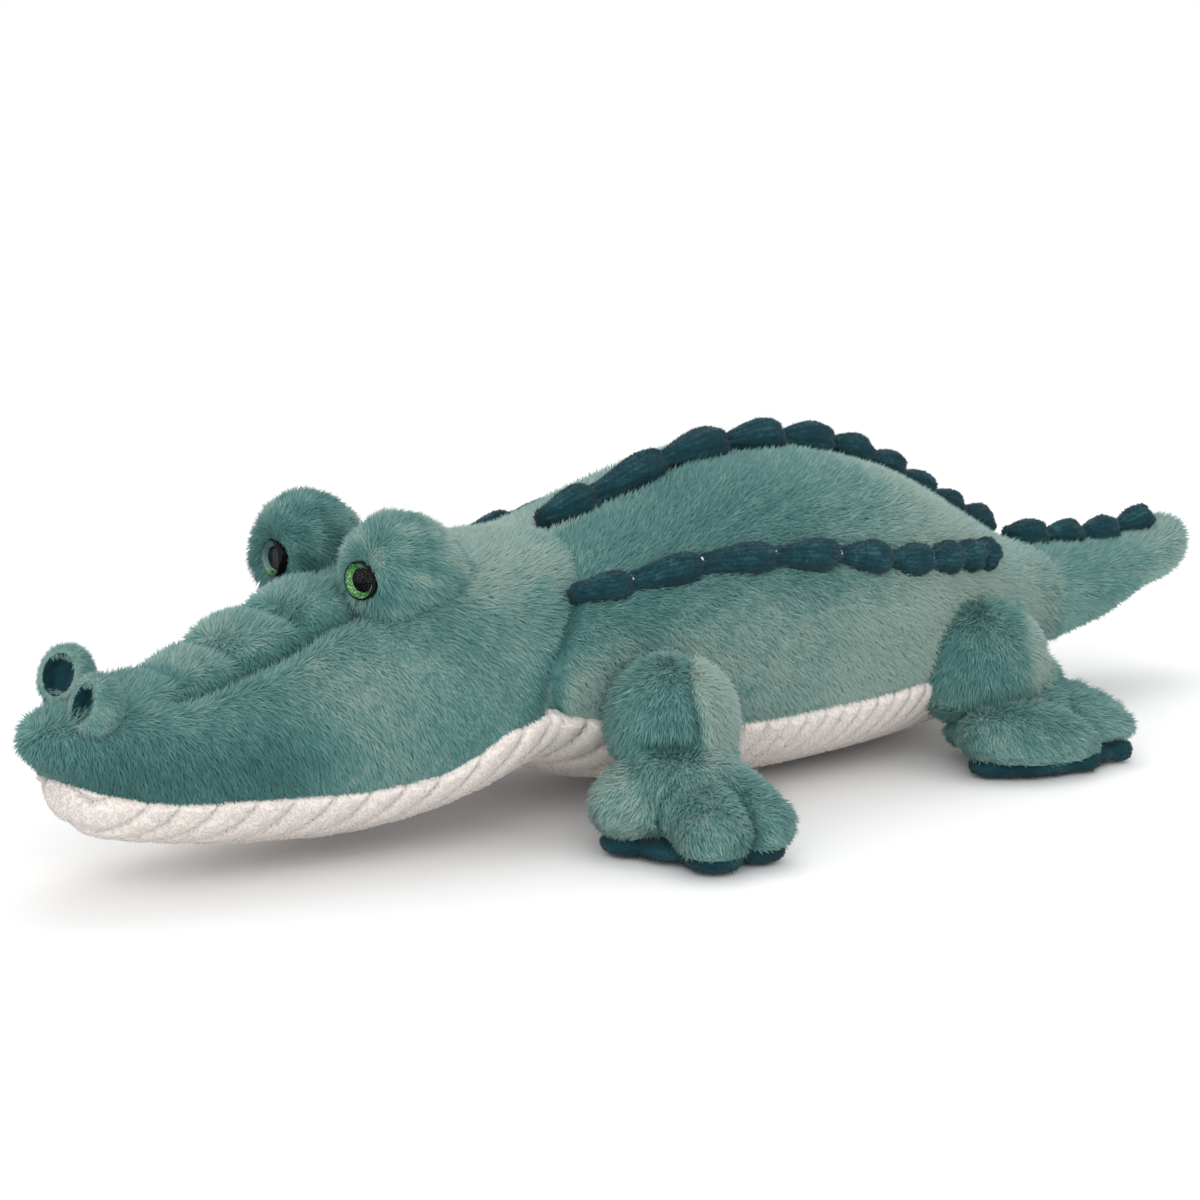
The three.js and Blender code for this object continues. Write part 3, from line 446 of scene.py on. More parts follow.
def closed_piece(name, rings, material):
    """A closed piece through rings of points, each end drawn to its middle."""
    count, sides = rings.shape[:2]
    points = np.concatenate([rings.reshape(-1, 3), rings[0].mean(0)[None], rings[-1].mean(0)[None]])
    return new_piece(name, points, closed_faces(count, sides), material)


def points_of(piece):
    found = np.empty(len(piece.data.vertices) * 3, np.float32)
    piece.data.vertices.foreach_get("co", found)
    return found.reshape(-1, 3).astype(float) / MM


def normals_of(piece):
    found = np.empty(len(piece.data.vertices) * 3, np.float32)
    piece.data.vertex_normals.foreach_get("vector", found)
    return found.reshape(-1, 3).astype(float)


def move_points(piece, points):
    piece.data.vertices.foreach_set("co", (points * MM).astype(np.float32).ravel())
    piece.data.update()


def mark(piece, name, values):
    """Keeps a value or a vector for each point of a piece, for the fur to read."""
    values = np.asarray(values, np.float32)
    kind, field = ("FLOAT_VECTOR", "vector") if values.ndim == 2 else ("FLOAT", "value")
    held = piece.data.attributes.get(name) or piece.data.attributes.new(name, kind, "POINT")
    held.data.foreach_set(field, values.ravel())


def settle(piece):
    """Applies what modifiers a piece has and removes them."""
    bpy.context.view_layer.update()
    graph = bpy.context.evaluated_depsgraph_get()
    mesh = bpy.data.meshes.new_from_object(piece.evaluated_get(graph), preserve_all_data_layers=True, depsgraph=graph)
    piece.modifiers.clear()
    old, piece.data = piece.data, mesh
    bpy.data.meshes.remove(old)
    mesh.name = piece.name


# Node trees

def feed(node, inputs):
    """Sets a node's inputs, as values or as the sockets that feed them."""
    for key, value in inputs.items():
        if isinstance(value, bpy.types.NodeSocket):
            node.id_data.links.new(value, node.inputs[key])
        else:
            node.inputs[key].default_value = value


def add(tree, kind, settings=None, inputs=None):
    """Adds a node with its settings and inputs."""
    made = tree.nodes.new(kind)
    made.location = (180 * len(tree.nodes), 0)
    for key, value in (settings or {}).items():
        setattr(made, key, value)
    feed(made, inputs or {})
    return made


def new_geometry_tree(name, **sockets):
    """A tree of geometry nodes with its named inputs, and what they give."""
    tree = bpy.data.node_groups.new(name, "GeometryNodeTree")
    for label, kind in sockets.items():
        tree.interface.new_socket(label.replace("_", " "), in_out="INPUT", socket_type="NodeSocket" + kind)
    tree.interface.new_socket("Result", in_out="OUTPUT", socket_type="NodeSocketGeometry")
    return tree, add(tree, "NodeGroupInput").outputs


def run_tree(piece, tree, values):
    """Runs a tree of geometry nodes on a piece with the values of its named inputs, and applies it."""
    modifier = piece.modifiers.new(tree.name, "NODES")
    modifier.node_group = tree
    for item in tree.interface.items_tree:
        if item.in_out == "INPUT" and item.name in values:
            modifier[item.identifier] = values[item.name]
    settle(piece)


def calculator(tree):
    """Short calls for the sums of a tree: of numbers, of vectors, of a vector and a number, and read values."""
    def math_of(operation, a, b=0.0):
        return add(tree, "ShaderNodeMath", {"operation": operation}, {0: a, 1: b}).outputs[0]

    def vector_of(operation, a, b=(0, 0, 0)):
        return add(tree, "ShaderNodeVectorMath", {"operation": operation}, {0: a, 1: b}).outputs[0]

    def scaled(a, b):
        return add(tree, "ShaderNodeVectorMath", {"operation": "SCALE"}, {0: a, "Scale": b}).outputs[0]

    def read(name, kind="FLOAT"):
        return add(tree, "GeometryNodeInputNamedAttribute", {"data_type": kind}, {"Name": name}).outputs["Attribute"]

    return math_of, vector_of, scaled, read


def store(tree, geometry, name, value, kind="FLOAT", domain="POINT"):
    return add(tree, "GeometryNodeStoreNamedAttribute", {"data_type": kind, "domain": domain}, {
        "Geometry": geometry, "Name": name, "Value": value}).outputs[0]


def xyz(tree, **parts):
    return add(tree, "ShaderNodeCombineXYZ", None, parts).outputs[0]


def chance_of(tree, seed, low, high):
    """A number by chance for each point."""
    return add(tree, "FunctionNodeRandomValue", {"data_type": "FLOAT"}, {2: low, 3: high, "Seed": seed}).outputs[1]


TUFT_LENGTHS = (0.72, 1.12)  # shortest and longest tuft, as shares
TONE_LIMITS = (0.03, 0.97)  # a tuft's tone stays inside the ramp of its colours
TUFT_SHINE = 0.35  # how much a tuft's own sides, beside the cloth below it, turn the light


def pile_tree():
    """Fur: spiky tufts scattered over a skin, leaning the way that it is brushed."""
    tree, given = new_geometry_tree(
        "Pile", Skin="Geometry", Density="Float", Length="Float", Width="Float", Lean="Float", Spread="Float",
        Clump_size="Float", Clump="Float", Unevenness="Float", Seed="Int", Fibre="Material")
    math_of, vector_of, scaled, read = calculator(tree)
    seed_of = lambda number: math_of("ADD", given["Seed"], float(number))

    scattered = add(tree, "GeometryNodeDistributePointsOnFaces", {"distribute_method": "RANDOM"}, {
        "Mesh": given["Skin"], "Density": math_of("MULTIPLY", given["Density"], read("pile")), "Seed": given["Seed"]})
    held = store(tree, scattered.outputs["Points"], "tuft_up", scattered.outputs["Normal"], "FLOAT_VECTOR")
    up, comb = read("tuft_up", "FLOAT_VECTOR"), read("comb", "FLOAT_VECTOR")

    # The way a tuft leans: up from the cloth, along the brushing, with clumps and chance
    against = add(tree, "ShaderNodeVectorMath", {"operation": "DOT_PRODUCT"}, {0: comb, 1: up}).outputs["Value"]
    flat = vector_of("NORMALIZE", vector_of("SUBTRACT", comb, scaled(up, against)))
    clumps = add(tree, "ShaderNodeTexNoise", None, {
        "Vector": add(tree, "GeometryNodeInputPosition").outputs[0],
        "Scale": math_of("DIVIDE", 1.0, given["Clump size"]), "Detail": 1.0})
    sway = scaled(vector_of("SUBTRACT", clumps.outputs["Color"], (0.5, 0.5, 0.5)), given["Clump"])
    chance = add(tree, "FunctionNodeRandomValue", {"data_type": "FLOAT_VECTOR"}, {
        0: (-1, -1, -1), 1: (1, 1, 1), "Seed": seed_of(1)}).outputs[0]
    lean = vector_of("ADD", scaled(up, math_of("COSINE", given["Lean"])), scaled(flat, math_of("SINE", given["Lean"])))
    way = vector_of("NORMALIZE", vector_of("ADD", vector_of("ADD", lean, sway), scaled(chance, given["Spread"])))
    turn = add(tree, "FunctionNodeAxesToRotation", {"primary_axis": "Z", "secondary_axis": "Y"}, {
        "Primary Axis": way, "Secondary Axis": up}).outputs[0]

    # One tuft: an open spike of three sides, one high and one across. Each corner keeps its height and its place
    # across, which no two of the corners share
    spike = add(tree, "GeometryNodeMeshCone", {"fill_type": "NONE"}, {
        "Vertices": 3, "Side Segments": 1, "Radius Top": 0.0, "Radius Bottom": 0.5, "Depth": 1.0})
    place = add(tree, "ShaderNodeSeparateXYZ", None, {0: add(tree, "GeometryNodeInputPosition").outputs[0]}).outputs
    side = math_of("ADD", math_of("MULTIPLY", place["X"], 2.0), math_of("MULTIPLY", place["Y"], 1.2))
    shaped = store(tree, spike.outputs["Mesh"], "tuft_rise", place["Z"])
    shaped = store(tree, shaped, "tuft_side", side)

    tall = math_of("MULTIPLY", given["Length"], math_of(
        "MULTIPLY", read("long"), chance_of(tree, seed_of(2), *TUFT_LENGTHS)))
    tone = math_of("ADD", read("tone"), math_of(
        "MULTIPLY", given["Unevenness"], chance_of(tree, seed_of(3), -1.0, 1.0)))
    tufts = add(tree, "GeometryNodeInstanceOnPoints", None, {
        "Points": store(tree, held, "tuft_tone", tone), "Instance": shaped, "Rotation": turn,
        "Scale": xyz(tree, X=given["Width"], Y=given["Width"], Z=tall)})
    whole = add(tree, "GeometryNodeRealizeInstances", None, {0: tufts.outputs[0]})

    # Colour coordinates, a little inside the square: tone across, root to tip upward
    shade = add(tree, "ShaderNodeClamp", None, {
        "Value": read("tuft_tone"), "Min": TONE_LIMITS[0], "Max": TONE_LIMITS[1]}).outputs[0]
    across = math_of("ADD", shade, math_of("MULTIPLY", read("tuft_side"), 0.012))
    upward = math_of("ADD", math_of("MULTIPLY", read("tuft_rise"), 0.96), 0.02)
    mapped = store(tree, whole.outputs[0], "OFBake", xyz(tree, X=across, Y=upward), "FLOAT2", "CORNER")
    own = add(tree, "GeometryNodeInputNormal").outputs[0]
    lit = add(tree, "GeometryNodeSetMeshNormal", {"mode": "FREE", "domain": "CORNER"}, {
        "Mesh": mapped, "Custom Normal": vector_of("NORMALIZE", vector_of("ADD", up, scaled(own, TUFT_SHINE)))})
    finished = add(tree, "GeometryNodeSetMaterial", None, {"Geometry": lit.outputs[0], "Material": given["Fibre"]})
    add(tree, "NodeGroupOutput", None, {0: finished.outputs[0]})
    return tree


def grow_pile(skin, name, fibre, seed, shares=(("", 1.0),), density=3.0, length=4.6, width=0.5, lean=0.95,
              spread=0.34, clump_size=2.6, clump=0.5, unevenness=0.2):
    """Grows pile on a skin, as one piece for each share of it. Lengths are in millimetres, the density is tufts on
    a square one, and the lean is in radians from upright."""
    tree = bpy.data.node_groups.get("Pile") or pile_tree()
    grown = []
    pile = np.empty(len(skin.data.vertices), np.float32)
    skin.data.attributes["pile"].data.foreach_get("value", pile)
    for number, (label, keep) in enumerate(shares):
        piece = new_object(name + label, skin.data.copy())
        mark(piece, "pile", pile * keep)
        run_tree(piece, tree, {
            "Density": density / MM**2, "Length": length * MM, "Width": width * MM, "Lean": lean, "Spread": spread,
            "Clump size": clump_size * MM, "Clump": clump, "Unevenness": unevenness, "Seed": seed + 10 * number,
            "Fibre": fibre})
        for extra in ("tuft_up", "tuft_rise", "tuft_side", "tuft_tone", "comb", "pile", "long", "tone"):
            if extra in piece.data.attributes:
                piece.data.attributes.remove(piece.data.attributes[extra])
        piece.data.materials.clear()
        piece.data.materials.append(fibre)
        grown.append(piece)
    return grown


def grow_fur(skin, name, seed, shares=(("", 1.0),), length=1.0, **changes):
    """Grows the sea green fur in its named sizes, but for what is changed; its length is a share of the named one."""
    plain = {"density": sizes().fur_density, "width": sizes().fur_width / MM}
    return grow_pile(skin, name, cloth("sea_green_fur"), seed, shares, length=sizes().fur_length / MM * length,
                     **(plain | changes))


def grow_nap(piece, name, seed, density, width, lean, **changes):
    """Grows the short pile of the velour."""
    plain = {"length": sizes().velour_length / MM, "spread": 0.5}
    return grow_pile(piece, name, cloth("teal_velour_pile"), seed, density=density, width=width, lean=lean,
                     **(plain | changes))


# Materials

def new_material(name):
    material = bpy.data.materials.new(name)
    material.use_nodes = True
    tree = material.node_tree
    return material, tree, tree.nodes["Principled BSDF"]


def darker(colour, share):
    return tuple(c * share for c in colour[:3]) + (1.0,)


def ramp_of(tree, factor, stops):
    ramp = add(tree, "ShaderNodeValToRGB", None, {"Fac": factor})
    elements = ramp.color_ramp.elements
    while len(elements) < len(stops):
        elements.new(0.5)
    for element, (at, colour) in zip(elements, stops):
        element.position = at
        element.color = colour
    return ramp.outputs["Color"]


def object_place(tree):
    return add(tree, "ShaderNodeTexCoord").outputs["Object"]


def pile_material(name, deep, plain, pale, root=0.8, sheen=0.2):
    """Brushed polyester fibre: soft, its roots painted darker than its tips as painted shade within the pile, and with
    a faint shine where it lies flat.
    """
    material, tree, shader = new_material(name)
    place = add(tree, "ShaderNodeSeparateXYZ", None, {
        0: add(tree, "ShaderNodeUVMap", {"uv_map": "OFBake"}).outputs[0]}).outputs
    tone = ramp_of(tree, place["X"], [(0.0, deep), (0.5, plain), (1.0, pale)])
    white = (1.0, 1.0, 1.0, 1.0)
    # Painted shade: each tuft is darker towards its root
    rise = ramp_of(tree, place["Y"], [(0.0, darker(white, root * 0.75)), (0.4, darker(white, 0.94)), (1.0, white)])
    mixed = add(tree, "ShaderNodeMix", {"data_type": "RGBA", "blend_type": "MULTIPLY"}, {
        "Factor": 1.0, 6: tone, 7: rise})
    feed(shader, {"Base Color": mixed.outputs[2], "Roughness": 0.85, "Sheen Weight": sheen, "Sheen Roughness": 0.5,
                  "Specular IOR Level": 0.25})
    return material


def cloth_material(name, dark, plain, pale, grain, bump, sheen):
    """Short knitted pile seen from above: darker in its folds as painted shade, with fine specks and a little shine."""
    material, tree, shader = new_material(name)
    fine = add(tree, "ShaderNodeTexNoise", None, {
        "Vector": object_place(tree), "Scale": 1 / (grain * MM), "Detail": 3.0})
    # The tone attribute holds painted light and painted shade as well as the cloth's own unevenness
    brushed = add(tree, "ShaderNodeAttribute", {"attribute_name": "tone"}).outputs["Fac"]
    speck = add(tree, "ShaderNodeMath", {"operation": "MULTIPLY_ADD"}, {
        0: fine.outputs["Fac"], 1: 0.5, 2: -0.25}).outputs[0]
    both = add(tree, "ShaderNodeMath", {"operation": "ADD"}, {0: brushed, 1: speck}).outputs[0]
    raised = add(tree, "ShaderNodeBump", None, {
        "Height": fine.outputs["Fac"], "Distance": bump * MM, "Strength": 0.6})
    feed(shader, {"Base Color": ramp_of(tree, both, [(0.0, dark), (0.5, plain), (1.0, pale)]),
                  "Normal": raised.outputs[0], "Roughness": 0.9, "Sheen Weight": sheen, "Specular IOR Level": 0.25})
    return material


def cloth(kind):
    """The materials of the toy's cloths, made once."""
    held = bpy.data.materials.get(kind)
    if held:
        return held
    c = colours()
    deep, plain, pale = tuple(c.fur_deep), tuple(c.fur), tuple(c.fur_pale)
    # brushed is the pale velour, which also serves as painted light on the ridges' tops
    dark, brushed, cream = tuple(c.velour), tuple(c.velour_pale), tuple(c.cream)
    if kind == "sea_green_fur":
        return pile_material(kind, deep, plain, pale)
    # The backing between the tufts is painted darker than the fur, as painted shade beneath the pile
    if kind == "fur_backing":
        return cloth_material(kind, darker(deep, 0.8), darker(plain, 0.85), darker(pale, 0.85), 1.2, 0.3, sheen=0.0)
    if kind == "teal_velour_pile":
        return pile_material(kind, darker(dark, 0.7), dark, brushed, root=0.7, sheen=0.1)
    if kind == "teal_velour":
        return cloth_material(kind, darker(dark, 0.6), dark, brushed, 0.7, 0.25, sheen=0.08)
    if kind == "cream_minky_pile":
        return pile_material(kind, darker(cream, 0.62), cream, cream, root=0.97, sheen=0.1)
    if kind == "cream_minky":
        return cloth_material(kind, darker(cream, 0.6), cream, cream, 0.9, 0.2, sheen=0.1)
    raise ValueError(f"no cloth is called {kind}")


# Stuffed skins

def brush(piece, comb, pile=None, long=None, tone=None):
    """Says for each point of a skin which way its fur lies, how dense and long it is and how light."""
    count = len(piece.data.vertices)
    mark(piece, "comb", unit(comb))
    for name, values, plain in (("pile", pile, 1.0), ("long", long, 1.0), ("tone", tone, 0.5)):
        mark(piece, name, np.full(count, plain) if values is None else values)


def dress(pieces, slot, body, joint=None):
    """Parents pieces to the body that they follow; pieces on a joint only have their placement baked into their points.
    The slot is not used.
    """
    for piece in pieces:
        if joint:
            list(joint["bodies"])
            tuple(joint["start"])
            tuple(joint["end"])
            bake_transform(piece)
        else:
            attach(piece, body)


NECK = {"bodies": ("torso", "head"), "start": (0, -0.092, 0.05), "end": (0, -0.132, 0.05)}
TAIL_ROOT = {"bodies": ("torso", "tail"), "start": (0, 0.180, 0.05), "end": (0, 0.245, 0.05)}


def bridge_at(points):
    """How far the quilted bridge and the valleys beside it stand out of the head, and how much each point lies in
    a row of quilting and in a valley."""
    x, y = np.abs(points[..., 0]), points[..., 1]
    rows = np.array(BRIDGE_ROWS)
    along = np.clip((y - rows[0]) / (rows[-1] - rows[0]), 0, 1)
    half = BRIDGE_HALF_WIDTHS[0] + (BRIDGE_HALF_WIDTHS[1] - BRIDGE_HALF_WIDTHS[0]) * along
    bowed = y + BRIDGE_BOW_AHEAD - BRIDGE_BOW * x**2
    k = np.clip(np.searchsorted(rows, bowed, side="right") - 1, 0, len(rows) - 2)
    f = np.clip((bowed - rows[k]) / (rows[k + 1] - rows[k]), 0, 1)
    puff = np.sqrt(np.clip(1 - (2 * f - 1) ** 2, 0, 1))

    def stretch(form):
        (come, full), (gone, wane) = form["comes"], form["goes"]
        return ease(rows[0] + come, rows[0] + full, y) * ease(rows[-1] + gone, rows[-1] + wane, y)

    over = stretch(BRIDGE) * np.sqrt(np.clip(1 - (x / half) ** 2, 0, 1))
    valley, cheek = (bell(x - half - form["off"], form["width"]) * stretch(form) for form in (VALLEY, CHEEK))
    rise = over * BRIDGE["rise"] * (0.1 + 0.9 * ease(0, 0.5, along)) * (0.15 + 0.85 * puff)
    return rise + VALLEY["rise"] * valley + CHEEK["rise"] * cheek, over * (1 - puff) ** 2, valley


def stuffed_skin(name, part, places, sides, relief, tucks, inset=SKIN_INSET):
    """A part's skin with its relief, tucked in at each end that a neighbour hides, and its points and normals."""
    place, angle = np.meshgrid(places, angles(sides), indexing="ij")
    rings = round_to_seam(part, place, angle, -inset)
    rings = rings + outward(rings) * relief(rings, place, angle)[..., None]
    for end in tucks:
        edge = rings[-1] if end > 0 else rings[0]
        middle = edge.mean(0)
        inner = [middle + (edge - middle) * share + np.array([0, end * reach, 0]) for share, reach in SKIN_TUCK]
        rings = np.concatenate([rings, inner] if end > 0 else [inner[::-1], rings])
    skin = closed_piece(name, rings, cloth("fur_backing"))
    return skin, points_of(skin), normals_of(skin)


def seam_groove(rings, distance):
    """How deep the seam at the neck draws the cloth in, at a distance from it: it fades out over the nape."""
    return bell(distance, SEAM_GROOVE) * (1 - GROOVE_FADE_SHARE * ease(*GROOVE_FADE, rings[..., 2]))


def neck_line(part, points):
    """1 on the line of the seam at the neck and 0 away from it; it runs out under the nape."""
    return bell(from_axis(part, points) - NECK_SEAM_RADIUS, 1.6) * (points[:, 1] > NECK_TURN_Y) * region(
        points, ("z", 90, 80))


def quarters(points, split_y):
    """The shares of a skin that are in front of and behind a place, on each side."""
    x, y = points[:, 0], points[:, 1]
    return [(f"_{end}_{hand}", (x * way > 0) & ((y < split_y) == (end == "front")))
            for end in ("front", "rear") for hand, way in HANDS]


def upper_pile(part, seam, points):
    """Where the fur grows, above the seam to the cream cloth, and how much shorter it is beside that seam."""
    place = (points[:, 1] - part["start"]) / part["length"]
    above = points[:, 2] - part["low"] - read_table(seam, place)[..., 0] * part["depth"]
    return ease(-1.5, 1.5, above), 1 - 0.55 * bell(above, 5.0)


def make_head():
    def relief(rings, place, angle):
        seam = sizes().seam_depth / MM * seam_groove(rings, (place - 1) * HEAD["length"])
        mirrored = rings * np.where(rings[..., :1] < 0, [-1, 1, 1], 1)
        foot = bell(np.linalg.norm(mirrored - MOUND_FOOT, axis=-1), MOUND_FOOT_WIDTH)
        return (bridge_at(rings)[0] * ease(*BRIDGE_EDGE, np.sin(angle)) - seam + MOUND_FOOT_RISE * foot
                + 0.5 * wobble(rings, 38, 3))

    skin, points, normals = stuffed_skin("head_plush", HEAD, np.linspace(0, 1, 150) ** 1.15, 190, relief, (1,))
    rise, rows, valley = bridge_at(points)
    valley = valley * (points[:, 2] > 50)
    # The fur is brushed back on top, down on the sides and down over the nose
    side, front = np.abs(normals[:, 0]), np.clip(-normals[:, 1], 0, 1)
    comb = np.stack([0.15 * normals[:, 0], 0.25 + 0.9 * (1 - side), -1.0 * (side + 1.4 * front)], -1)
    past_seam = from_axis(HEAD, points) - NECK_SEAM_RADIUS
    hidden = (points[:, 1] > NECK_TURN_Y) & (past_seam > -0.5)
    seam_line = neck_line(HEAD, points)
    # Painted shade along the neck seam, in the valleys and in the rows of quilting; painted light on the raised bridge
    tone = (tone_of(points, HEAD_TONE) + SEAM_SHADE * seam_line + HEAD_TONE["valley"] * valley
            + HEAD_TONE["rows"] * rows + HEAD_TONE["bridge"] * ease(1, 4, rise) * region(points, ("y", -165, -192)))
    grows, clipped = upper_pile(HEAD, LIP_SEAM, points)
    brush(skin, comb, pile=grows * ~hidden * (1 - 0.9 * seam_line), tone=tone,
          long=(1 - 0.35 * valley - 0.4 * rows - 0.5 * bell(past_seam, 3.5)) * clipped)
    fur = grow_fur(skin, "head_fur", 100, quarters(points, -172))
    dress([skin], "teal_plush", None, NECK)
    dress(fur, "teal_plush", None, NECK)
    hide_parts("head_cover", "head_filling", "snout_bridge")


def make_torso():
    def relief(rings, place, angle):
        rump = 0.6 * bell((place - 1) * BODY["length"], ROOT_GROOVE)
        groove = seam_groove(rings, place * BODY["length"]) + rump
        return -sizes().seam_depth / MM * groove + 0.8 * wobble(rings, 55, 11)

    skin, points, normals = stuffed_skin("torso_plush", BODY, np.linspace(0, 1, 150), 210, relief, (-1, 1))
    side = np.abs(normals[:, 0])
    comb = np.stack([0.1 * normals[:, 0], 0.2 + 0.9 * (1 - side), -1.0 * side], -1)
    hidden = (from_axis(BODY, points) < NECK_SEAM_RADIUS) | (points[:, 1] > BODY["start"] + BODY["length"] + 0.5)
    seam_line = neck_line(BODY, points)
    tone = tone_of(points, BODY_TONE) + SEAM_SHADE * seam_line
    grows, clipped = upper_pile(BODY, BELLY_SEAM, points)
    brush(skin, comb, pile=grows * ~hidden * (1 - 0.9 * seam_line), tone=tone, long=clipped * (1 - 0.5 * seam_line))
    fur = grow_fur(skin, "torso_fur", 200, quarters(points, 60), length=0.9, lean=0.78, spread=0.5, clump=0.4,
                   unevenness=0.22)
    dress([skin], "teal_plush", "torso")
    dress(fur, "teal_plush", "torso")
    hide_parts("body_cover", "body_filling")


def make_tail():
    def relief(rings, place, angle):
        seam = 0.6 * sizes().seam_depth / MM * bell(place * TAIL["length"], ROOT_GROOVE)
        return -seam + 0.5 * wobble(rings, 30, 17)

    places = 1 - np.linspace(1, 0, 70) ** 1.3  # closer together at the tip
    skin, points, normals = stuffed_skin("tail_plush", TAIL, places, 96, relief, (-1,), TAIL_SKIN_INSET)
    comb = np.array([0, 1, 0]) - np.abs(normals[:, :1]) * [0, 0, 0.5]
    brush(skin, comb, pile=from_axis(TAIL, points) >= TAIL_SEAM_RADIUS, tone=tone_of(points, TAIL_TONE))
    fur = grow_fur(skin, "tail_fur", 300, length=0.9)
    dress([skin], "teal_plush", None, TAIL_ROOT)
    dress(fur, "teal_plush", None, TAIL_ROOT)
    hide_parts("tail_cover", "tail_filling")


# Ribbed cream panels

def make_panel(name, form):
    """Ribbed cloth round the underside from seam to seam, with a tucked edge and a back."""
    part, middle = form["part"], PANEL_COLUMNS // 2
    place, share = np.meshgrid(np.linspace(form["first"], form["last"], form["rows"]),
                               np.linspace(-1, 1, PANEL_COLUMNS), indexing="ij")
    reach = 1.03 - 0.5 * ease(0, 0.12, -place)  # a little past the seam, and narrow where the head hides it
    angle = -np.pi / 2 + share * (np.pi / 2 + seam_angle(part, form["seam"], place)) * reach
    rings = round_to_seam(part, place, angle, -SKIN_INSET)
    steps = np.linalg.norm(np.diff(rings, axis=1), axis=-1)
    arc = np.concatenate([np.zeros((len(rings), 1)), np.cumsum(steps, axis=1)], axis=1)
    arc = np.abs(arc - arc[:, middle:middle + 1])
    normals = unit(np.cross(np.gradient(rings, axis=1), np.gradient(rings, axis=0)))
    normals *= -np.sign(normals[..., 2].mean())

    y = rings[..., 1]
    phase = read_table(form["ribs"], y - form["slant"] * arc)[..., 0] % 1.0
    puff = np.clip(1 - np.abs(2 * phase - 1) ** RIB_FULLNESS, 0, 1) ** 0.5
    plain, towards_throat = form["height"]
    rib = sizes().rib_height / MM * (plain + towards_throat * ease(*THROAT_Y, y))
    inward = 1 - np.abs(share)
    edge = ease(0, 0.05, inward)
    height = PANEL_LIFT + rib * puff * ease(0, 0.06, inward) - PANEL_EDGE_TUCK * (1 - edge)
    outer = rings + normals * height[..., None]
    inner = rings - normals * PANEL_THICKNESS
    count = place.size
    index = np.arange(count).reshape(place.shape)
    quad = np.stack([index[:-1, :-1], index[:-1, 1:], index[1:, 1:], index[1:, :-1]], -1).reshape(-1, 4)
    border = np.concatenate([index[0, :-1], index[:-1, -1], index[-1, :0:-1], index[:0:-1, 0]])
    ahead = np.roll(border, -1)
    rim = np.stack([border, border + count, ahead + count, ahead], -1)
    faces = quad.tolist() + (quad[:, ::-1] + count).tolist() + rim.tolist()
    piece = new_piece(name, np.concatenate([outer.reshape(-1, 3), inner.reshape(-1, 3)]), faces, cloth("cream_minky"))
    # Painted shade: the grooves between the ribs are darker than the ribs' backs
    brush(piece, np.tile([0.0, 0.6, -0.8], (2 * count, 1)),
          pile=np.append((edge * (0.3 + 0.7 * puff)).ravel(), np.zeros(count)),
          tone=np.append((0.05 + 0.62 * puff).ravel(), np.full(count, 0.5)))
    return piece


def make_panels():
    jaw, belly = make_panel("jaw_cloth", JAW), make_panel("belly_cloth", BELLY)
    for piece, joint, seed, node in ((jaw, NECK, 400, "jaw_panel"), (belly, None, 410, "belly_panel")):
        pile = grow_pile(piece, piece.name.replace("cloth", "pile"), cloth("cream_minky_pile"), seed, density=1.0,
                         length=sizes().cream_length / MM, width=0.75, lean=0.7, spread=0.5, unevenness=0.06)
        dress([piece], "cream_cloth", "torso", joint)
        dress(pile, "cream_cloth", "torso", joint)
        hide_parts(node)


# Legs, feet and soles

def lump(name, balls, voxel, rounds, material):
    """One stuffed form from rounded lumps: middle, half sizes and turn of each."""
    made = bmesh.new()
    for middle, halves, turn in balls:
        place = Matrix.Translation(Vector(middle) * MM) @ Matrix.Rotation(turn, 4, "Z")
        place = place @ Matrix.Diagonal((*(h * MM for h in halves), 1.0))
        bmesh.ops.create_icosphere(made, subdivisions=4, radius=1.0, matrix=place)
    mesh = bpy.data.meshes.new(name)
    made.to_mesh(mesh)
    made.free()
    piece = new_object(name, mesh, material)
    remesh = piece.modifiers.new("Remesh", "REMESH")
    remesh.mode, remesh.voxel_size = "VOXEL", voxel * MM
    smooth = piece.modifiers.new("Smooth", "SMOOTH")
    smooth.factor, smooth.iterations = 0.5, rounds
    settle(piece)
    piece.data.shade_smooth()
    return piece


def toe_balls(leg, way, shrink=0.0, flat=None):
    """The lumps of the toes; where flat is given, all are that high and lie on the floor."""
    balls = []
    for root, tip, radius in leg["toes"]:
        turn = math.atan2(tip[0] - root[0], root[1] - tip[1])
        for t in np.linspace(0, 1, 6):
            x, y, z = (a + (b - a) * t for a, b in zip(root, tip))
            share = read_table(leg["taper"], t)[0]
            r = radius * (max(share, SOLE_TAPER) if flat else share) - shrink
            balls.append(((way * x, y, flat or z), (r, r, flat or r), way * turn))
    return balls


def leg_balls(leg, way):
    """The lumps of a leg and its foot."""
    half = (leg["top"] - leg["ankle"] + 18) / 2
    limb = ((*leg["hip"], leg["top"] - half), (leg["radius"], leg["radius"], half))
    return [((way * x, y, z), halves, 0.0) for (x, y, z), halves in [limb] + leg["lumps"]] + toe_balls(leg, way)


def between_toes(leg, points):
    """How near each point lies to a valley between two toes: where it is as far from the one as from the other."""
    gaps = []
    for root, tip, radius in leg["toes"]:
        root, run = np.array(root, float), np.array(tip, float) - root
        t = np.clip((points - root) @ run / (run @ run), 0, 1)
        gap = np.linalg.norm(points - root - t[:, None] * run, axis=1) - radius * read_table(leg["taper"], t)[:, 0]
        gaps.append(gap + 40 * ease(0.65, 0.3, t))  # a toe counts only beyond its root
    nearest = np.sort(gaps, axis=0)
    return bell(nearest[1] - nearest[0], 3.0) * ease(20, 8, nearest[0])


